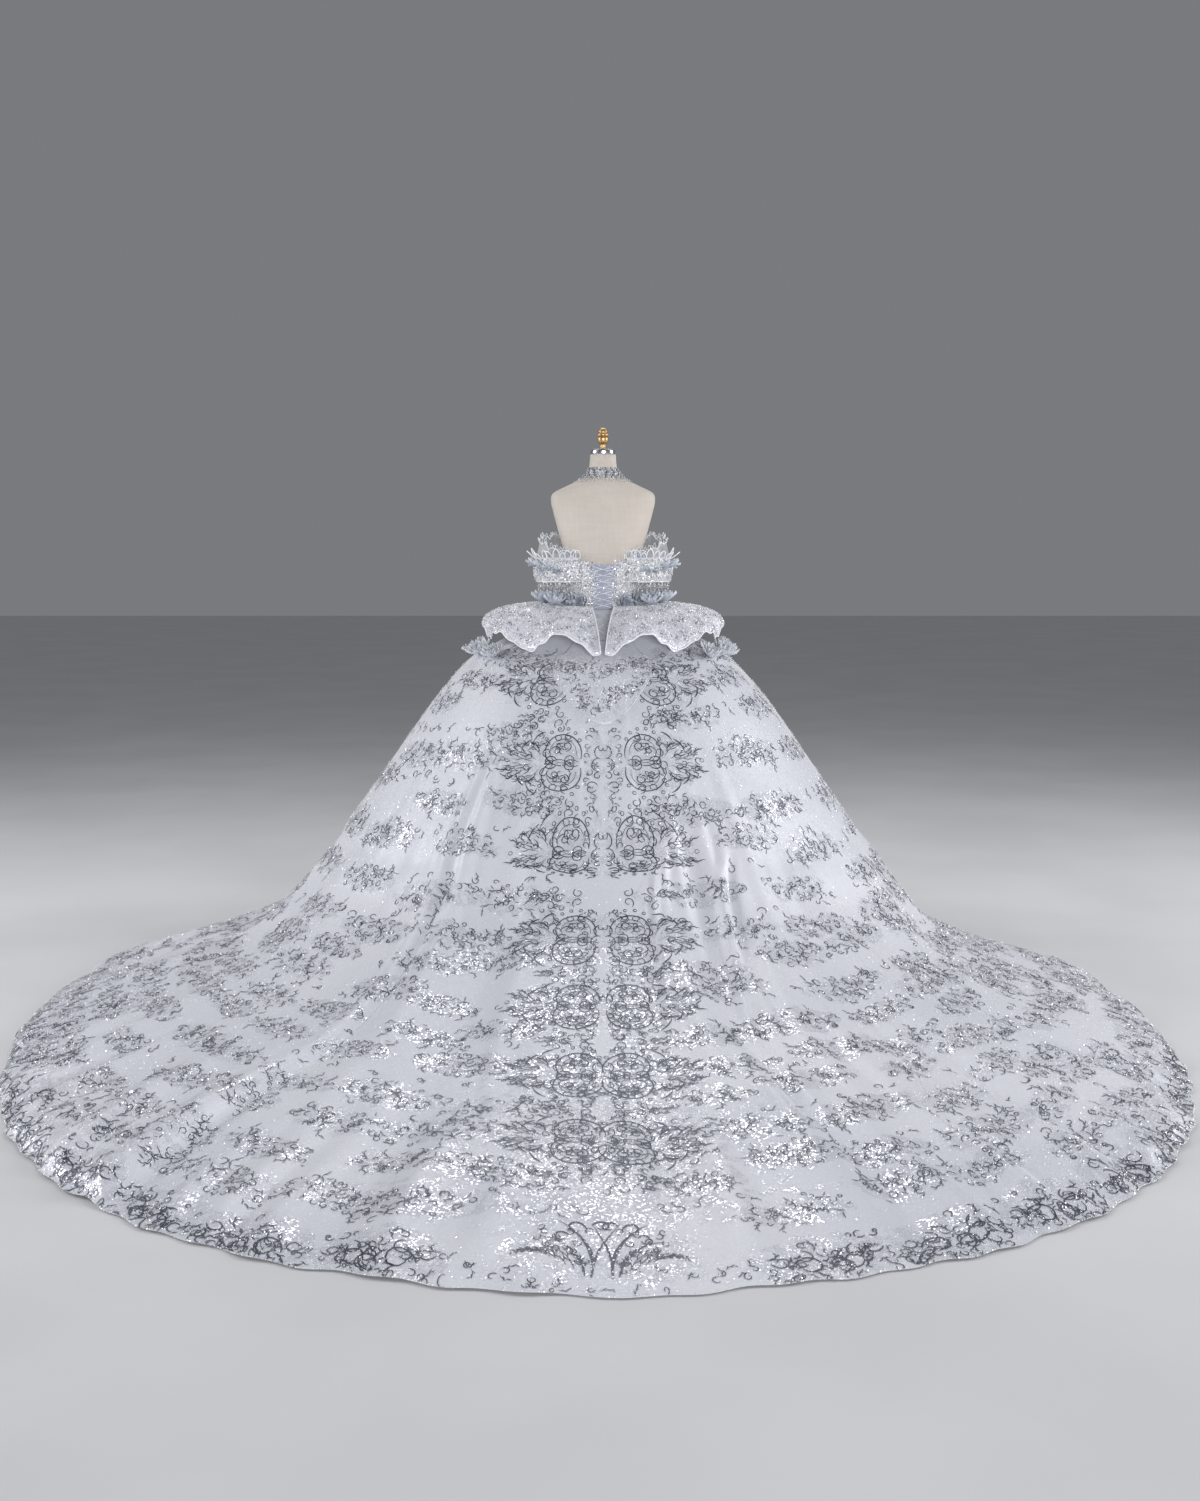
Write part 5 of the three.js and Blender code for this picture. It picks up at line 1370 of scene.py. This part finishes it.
UP = np.array([0, 0, 1.0])
SLEEVE_PETAL_PITCH = 0.024
for side_name, side in (("left", -1), ("right", 1)):
    band = on_side(side, band_face)
    cloth_piece("sleeve_band_" + side_name + "_tulle", band, np.linspace(0, 1, 110), np.linspace(0, 1, 16),
                [beaded], "beading", ["sleeve_band_" + side_name])
    frill = on_side(side, frill_face)
    cloth_piece("sleeve_frill_" + side_name + "_organza", frill, np.linspace(0, 1, 300), np.linspace(0, 1, 14),
                [organza], "organza", ["sleeve_frill_" + side_name])
    trim = Needlework(band, 0.8)
    for s in np.linspace(0.05, 0.95, 15):
        embroider(trim, s, 0.5, 0.24, (34, 40), ((100, 3.6), (70, 3.4)), 30)
    trim.build("sleeve_band_" + side_name + "_beadwork", [pewter_thread, sequin, pearl_sequin], "beading")

    edges = []
    for v in (0.0, 1.0):
        edges.append((*tube(band(np.linspace(0.004, 0.996, 120), np.full(120, v), 0.4), 1.5 * MM), 0))
    edges.append((*tube(frill(np.linspace(0.004, 0.996, 300), np.full(300, 0.0), 0.0), 1.3 * MM, 5), 0))
    for k in range(30):
        s = 0.12 + 0.026 * k
        place = s if side > 0 else 1 - s
        root, out = spot_on(frill, place, 0.04), outward_at(frill, place, 0.2)
        loop = oval_loop(root, UP + out * 0.4 * math.sin(5 * k), out, (15 + 5 * math.sin(3 * k)) * MM, 8 * MM)
        edges.append((*tube(loop, 0.9 * MM, 5, closed=True), 0))
    petals, tips = [], []
    for k in range(19):
        s = 0.03 + 0.052 * k
        outer = math.sin(math.pi * s)
        place = s if side > 0 else 1 - s
        root, out = spot_on(band, place, 0.06, 1.2), outward_at(band, place, 0.06)
        lean = 0.35 + 0.55 * outer * (k % 2) + 0.1 * math.sin(3 * k)
        ahead = UP + out * lean + np.array([0.12 * math.sin(2.3 * k), 0, 0])
        loop = oval_loop(root, ahead, out, (38 + 6 * math.sin(1.7 * k)) * MM, (21 + 3 * math.cos(2.9 * k)) * MM)
        edges.append((*tube(loop, 1.9 * MM, 6, closed=True), 0))
    add_piece("sleeve_" + side_name + "_petal_loops", *unite(edges)[:2], [piping], "organza")

    for k in range(46):
        s = 0.16 + 0.72 * (k * GOLDEN % 1)
        place = s if side > 0 else 1 - s
        level = 0.02 + 0.6 * (k * THIRD % 1)
        root, out = spot_on(band, place, level, 0.6), outward_at(band, place, 0.4)
        ahead = out * (0.5 + 0.5 * (k % 3)) + UP * (0.9 - 0.55 * (k % 4)) + chance.normal(0, 0.35, 3)
        length, width = (24 + 10 * chance.random()) * MM, (15 + 6 * chance.random()) * MM
        points, tip = petal_grid(length, width, 0.25, 3 * MM, k)
        petals.append((standing(points, root, ahead, out + UP), PETAL_FACES, int(k % 5 > 1)))
        tips.append(tip)
    gather("sleeve_" + side_name + "_petals", petals, tips, [blue_organza, pale_organza], "organza", (),
           SLEEVE_PETAL_PITCH)

    # strings of small beads, some hanging and some swagged, with a drop on each
    strings = []
    lengths = [26, 31, 36, 31, 26, 31, 37, 32, 26]
    tops = [FRINGE_FROM + (FRINGE_TO - FRINGE_FROM) * (i + 0.5) / FRINGE_STRANDS for i in range(FRINGE_STRANDS)]
    for s, length in zip(tops, lengths):
        root = sleeve_loop(np.array(s), BAND_BOTTOM - 2.0, -1.2) * [side, 1, 1]
        fall = np.linspace(0, length - 8, int(length / 2.3))[:, None] * [0, 0, -MM]
        strings.append((*beads(root + fall, 1.6 * MM), 0))
        strings.append((*beads((root + [0, 0, -length * MM])[None], 3.6 * MM, 1.7), 0))
    for first in range(FRINGE_STRANDS - 1):
        for depth in (14, 21):
            share = np.linspace(0, 1, 15)
            s = lerp(tops[first], tops[first + 1], share)
            z = BAND_BOTTOM - 3 - depth * 4 * share * (1 - share)
            strings.append((*beads(sleeve_loop(s, z, -1.2) * [side, 1, 1], 1.5 * MM), 0))
    strip_top = sleeve_loop(np.linspace(FRINGE_FROM, FRINGE_TO, 60), np.full(60, BAND_BOTTOM - 2.5), -1.2)
    strings.append((*tube(strip_top * [side, 1, 1], 1.6 * MM), 0))
    add_piece("bead_strings_" + side_name, *unite(strings)[:2], [crystal], "crystal",
              ["bead_fringe_" + side_name])


# The peplum

WING = Table("v half back front side rear flute", [
    (0, 130, 99, 105, 1330, 1330, 0), (0.25, 212, 165, 150, 1339, 1324, 3),
    (0.5, 292, 235, 200, 1330, 1302, 11), (0.75, 368, 305, 250, 1305, 1264, 23),
    (0.92, 414, 350, 290, 1272, 1224, 32), (1, 424, 366, 300, 1244, 1200, 36),
])
WING_SPLIT = Table("v x", [(0, 46), (0.5, 26), (1, 7)])
WING_FRONT_ANGLE = 118
WING_FLUTES = 3.1
WING_SEAT = 1.1
RIPPLES, RIPPLE_HEIGHT, SWELL = 13, 6, 9
FLUTE_REACH = 0.03


def wing_face(u, v):
    along, v = np.clip(u, 0, 1), np.clip(v, 0, 1)
    half = WING("half", v)
    phase = along * WING_FLUTES * 2 * np.pi
    inner = np.degrees(np.arcsin(WING_SPLIT("x", v) / half))
    angle = lerp(inner, WING_FRONT_ANGLE, along)
    sine, cosine = np.sin(np.radians(angle)), np.cos(np.radians(angle))
    depth = np.where(cosine > 0, WING("back", v), WING("front", v))
    height = lerp(WING("side", v), WING("rear", v), np.where(cosine > 0, cosine**2, 0))
    softer = lerp(1, 0.55, np.minimum(1, sine**2 * 1.2))
    flute = -WING("flute", v) * np.cos(phase) * softer
    waves = np.sin(along * RIPPLES * 2 * np.pi + 2 * v) * np.sin(3 * phase / 4 + 1)
    ripple = RIPPLE_HEIGHT * smoothstep(v, 0.55, 1) * waves
    swell = SWELL * v * v * np.sin(7 * along + 1.3) * smoothstep(v, 0.3, 1)
    reach = 1 - FLUTE_REACH * v * v * np.cos(phase)
    ring = np.stack([sine * half * reach, -cosine * depth * reach, height + flute + ripple + swell], -1) * MM
    seam = form_point(angle, WING("side", 0.0), BODICE_OUT + WING_SEAT)
    return lerp(seam, ring, smoothstep(v, 0, 0.25)[..., None])


TAIL_HALF_WIDTH, TAIL_TOP_ROW, TAIL_HEM_ROW, TAIL_LIFT = 168, 0.72, 3.15, 5.5


def tail_point(u, v, out=0.0):
    row = lerp(TAIL_TOP_ROW, TAIL_HEM_ROW - 1.05 * u * u, v)
    width = TAIL_HALF_WIDTH * lerp(0.62, 1, smoothstep(v, 0, 0.6))
    return skirt_point(np.degrees(np.arcsin(u * width / SKIRT("left", row))), row, TAIL_LIFT + out)


for side_name, side in (("left", -1), ("right", 1)):
    wing = on_side(side, wing_face)
    us, vs = np.linspace(0, 1, 150), np.linspace(0, 1, 30)
    cloth_piece("peplum_wing_" + side_name + "_tulle", wing, us, vs, [damask, satin], "damask",
                ["peplum_wing_" + side_name], thickness=2.2 * MM,
                worn={"lace": lambda u, v: 0.35 + 0.45 * np.sin(u * 31 + 3 * np.sin(v * 9)) ** 2})
    trim = Needlework(wing, 0.9)
    for u in np.linspace(0.05, 0.95, 10):
        for v in (0.42, 0.7, 0.9):
            embroider(trim, u if side > 0 else 1 - u, v, 0.34, (80, 80), ((150, 2.8), (130, 2.6)), 40)
    trim.build("peplum_wing_" + side_name + "_damask", [thread, sequin, pearl_sequin], "beading")
    hem = wing(np.linspace(0.002, 0.998, 260), np.full(260, 1.0))
    ends = [wing(np.full(50, at), np.linspace(0.1, 1, 50)) for at in (0.001, 0.999)]
    rolled = [(*tube(line, 2.3 * MM, 8), 0) for line in (hem, *ends)]
    seam = wing(np.linspace(0.01, 0.99, 260), np.full(260, 0.955), 0.6)
    rolled.append((*tube(seam, 0.8 * MM, 5), 0))
    add_piece("peplum_wing_" + side_name + "_rolled_edge", *unite(rolled)[:2], [piping], "organza")

us, vs = np.linspace(-1, 1, 70), np.linspace(0, 1, 60)
cloth_piece("peplum_tail_tulle", tail_point, us, vs, [damask, satin], "damask",
            ["peplum_tail"], thickness=2 * MM,
            worn={"lace": lambda u, v: 0.15 + 0.3 * np.sin(u * 6 + 4 * v) ** 2})
trim = Needlework(tail_point, 0.8)
TAIL_SPOTS = [
    (-0.5, 0.45), (0.5, 0.45), (0, 0.5), (-0.45, 0.8), (0.45, 0.8), (0, 0.85), (-0.8, 0.6), (0.8, 0.6),
]
for u, v in TAIL_SPOTS:
    trim.place(any_bouquet(), u, v, 0.55, chance.normal(0, 20))
    trim.scatter(150, u, v, 85, 80, 3.2, 1)
trim.build("peplum_tail_damask", [thread, sequin], "beading")
outline = np.vstack([
    tail_point(np.full(40, -1.0), np.linspace(0.3, 1, 40)),
    tail_point(np.linspace(-1, 1, 120)[1:-1], np.full(118, 1.0)),
    tail_point(np.full(40, 1.0), np.linspace(1, 0.3, 40)),
])
add_piece("peplum_tail_piping", *tube(outline, 1.5 * MM, 6), [silver_thread], "organza")


# The organza flowers

FLOWER_HOSTS = {
    "bodice": lambda side: (lambda u, v, out=0.0: bodice_point(side * u, v, out)),
    "wing": lambda side: (lambda u, v, out=0.0: raised(wing_face)(u, v, out) * [side, 1, 1]),
    "skirt": lambda side: (lambda u, v, out=0.0: skirt_point(side * np.asarray(u), v, out)),
}
FLOWERS = [
    ("waist_flower_1", "bodice", 29, 0.76, 25, 24, blue_organza),
    ("waist_flower_2", "bodice", 56, 0.76, 29, 26, blue_organza),
    ("waist_flower_3", "wing", 15 / 36, 0.25, 30, -4, blue_organza),
    ("waist_flower_4", "wing", 22 / 36, 0.25, 36, -2, blue_organza),
    ("hip_flower_1", "skirt", 57.54, 1.5, 30, 6, pale_organza),
    ("hip_flower_2", "skirt", 72.31, 1.5, 33, 6, pale_organza),
    ("hip_flower_3", "skirt", 93.33, 1.5, 33, 6, pale_organza),
]
BODICE_FLOWER_OUT, BODICE_FLOWER_DOWN = 9, 20
PETAL_RINGS = [(11, 1.62, 0.05), (10, 1.4, 0.35), (8, 1.1, 0.75), (6, 0.8, 1.3), (4, 0.5, 1.9)]


def flower_piece(name, host, u, v, radius, lean, material, side):
    """A ruffled flower of rings of petals, which cup more towards its middle."""
    surface = FLOWER_HOSTS[host](side)
    u, v = np.array([float(u)]), np.array([float(v)])
    seat = surface(u, v)[0]
    along_u, along_v, _ = directions(surface, u, v)
    normal = unit(np.cross(along_v, along_u) * side)[0]
    normal = normal if host != "bodice" else unit(surface(u, v, 1.0)[0] - seat)
    outward = normal if normal @ (seat - [0, 0, seat[2]]) > 0 or host == "wing" else -normal
    axis = unit(outward + UP * math.sin(math.radians(lean)))
    if host == "bodice":
        seat = seat + outward * BODICE_FLOWER_OUT * MM - UP * BODICE_FLOWER_DOWN * MM
    first = unit(np.cross(axis, [0.3, 0.2, 0.93]))
    second = np.cross(axis, first)
    parts, tips = [], []
    for ring_number, (count, reach, rise) in enumerate(PETAL_RINGS):
        for k in range(count):
            way = 2 * math.pi * (k + 0.5 * (ring_number % 2)) / count + chance.normal(0, 0.12)
            spoke = first * math.cos(way) + second * math.sin(way)
            length = radius * reach * chance.uniform(0.9, 1.12) * MM
            shape, tip = petal_grid(length, length * chance.uniform(0.4, 0.58), 0.3, 3.2 * MM, way * 3, 0.9)
            root = seat + axis * (2.0 + 1.5 * ring_number) * MM + spoke * 2 * MM
            parts.append((standing(shape, root, spoke + axis * (0.32 + rise), axis), PETAL_FACES, 0))
            tips.append(tip * (0.55 + 0.45 * (ring_number < 2)))
    gather(name + "_organza", parts, tips, [material], "flower", [name], radius * 0.7 * MM)


for side_name, side in (("left", -1), ("right", 1)):
    for name, *facts in FLOWERS:
        flower_piece(name + "_" + side_name, *facts, side)


# The floor and the light

FLOOR_REACH = 30
floor_mesh = bpy.data.meshes.new("pale_floor")
floor_corners = [(x * FLOOR_REACH, y * FLOOR_REACH, 0) for x, y in ((-1, -1), (1, -1), (1, 1), (-1, 1))]
floor_mesh.from_pydata(floor_corners, [], [(0, 1, 2, 3)])
floor_mesh.materials.append(plain("pale_floor", (214, 214, 216), (220, 220, 222), 1.2, 0.7))
floor = put("pale_floor", floor_mesh)

sky = bpy.data.worlds.new("soft_studio")
sky.use_nodes = True
sky.node_tree.nodes["Background"].inputs["Color"].default_value = tone(226, 229, 236)
sky.node_tree.nodes["Background"].inputs["Strength"].default_value = 0.25
bpy.context.scene.world = sky


def soft_light(name, place, aim, size, power):
    lamp = bpy.data.lights.new(name, "AREA")
    lamp.shape = "RECTANGLE"
    lamp.size, lamp.size_y = size
    lamp.energy = power
    holder = put(name, lamp)
    holder.location = place
    way = np.array(aim, float) - place
    level = math.hypot(way[0], way[1])
    tilt, heading = math.atan2(way[2], level), math.atan2(way[1], way[0])
    holder.rotation_euler = (math.pi / 2 + tilt, 0, heading - math.pi / 2)


soft_light("left_softbox", (-6.0, -0.8, 3.0), (-0.5, -0.9, 0.4), (3.0, 3.2), 205)
soft_light("right_softbox", (6.0, -0.6, 3.0), (0.5, -0.9, 0.5), (3.0, 3.2), 220)
soft_light("top_softbox", (0, 2.4, 4.8), (0, -0.6, 0.5), (3.0, 2.2), 60)
soft_light("front_fill", (1.4, -11, 2.0), (0, 0, 1.0), (4.0, 2.2), 640)

bpy.context.scene.view_settings.view_transform = "Standard"
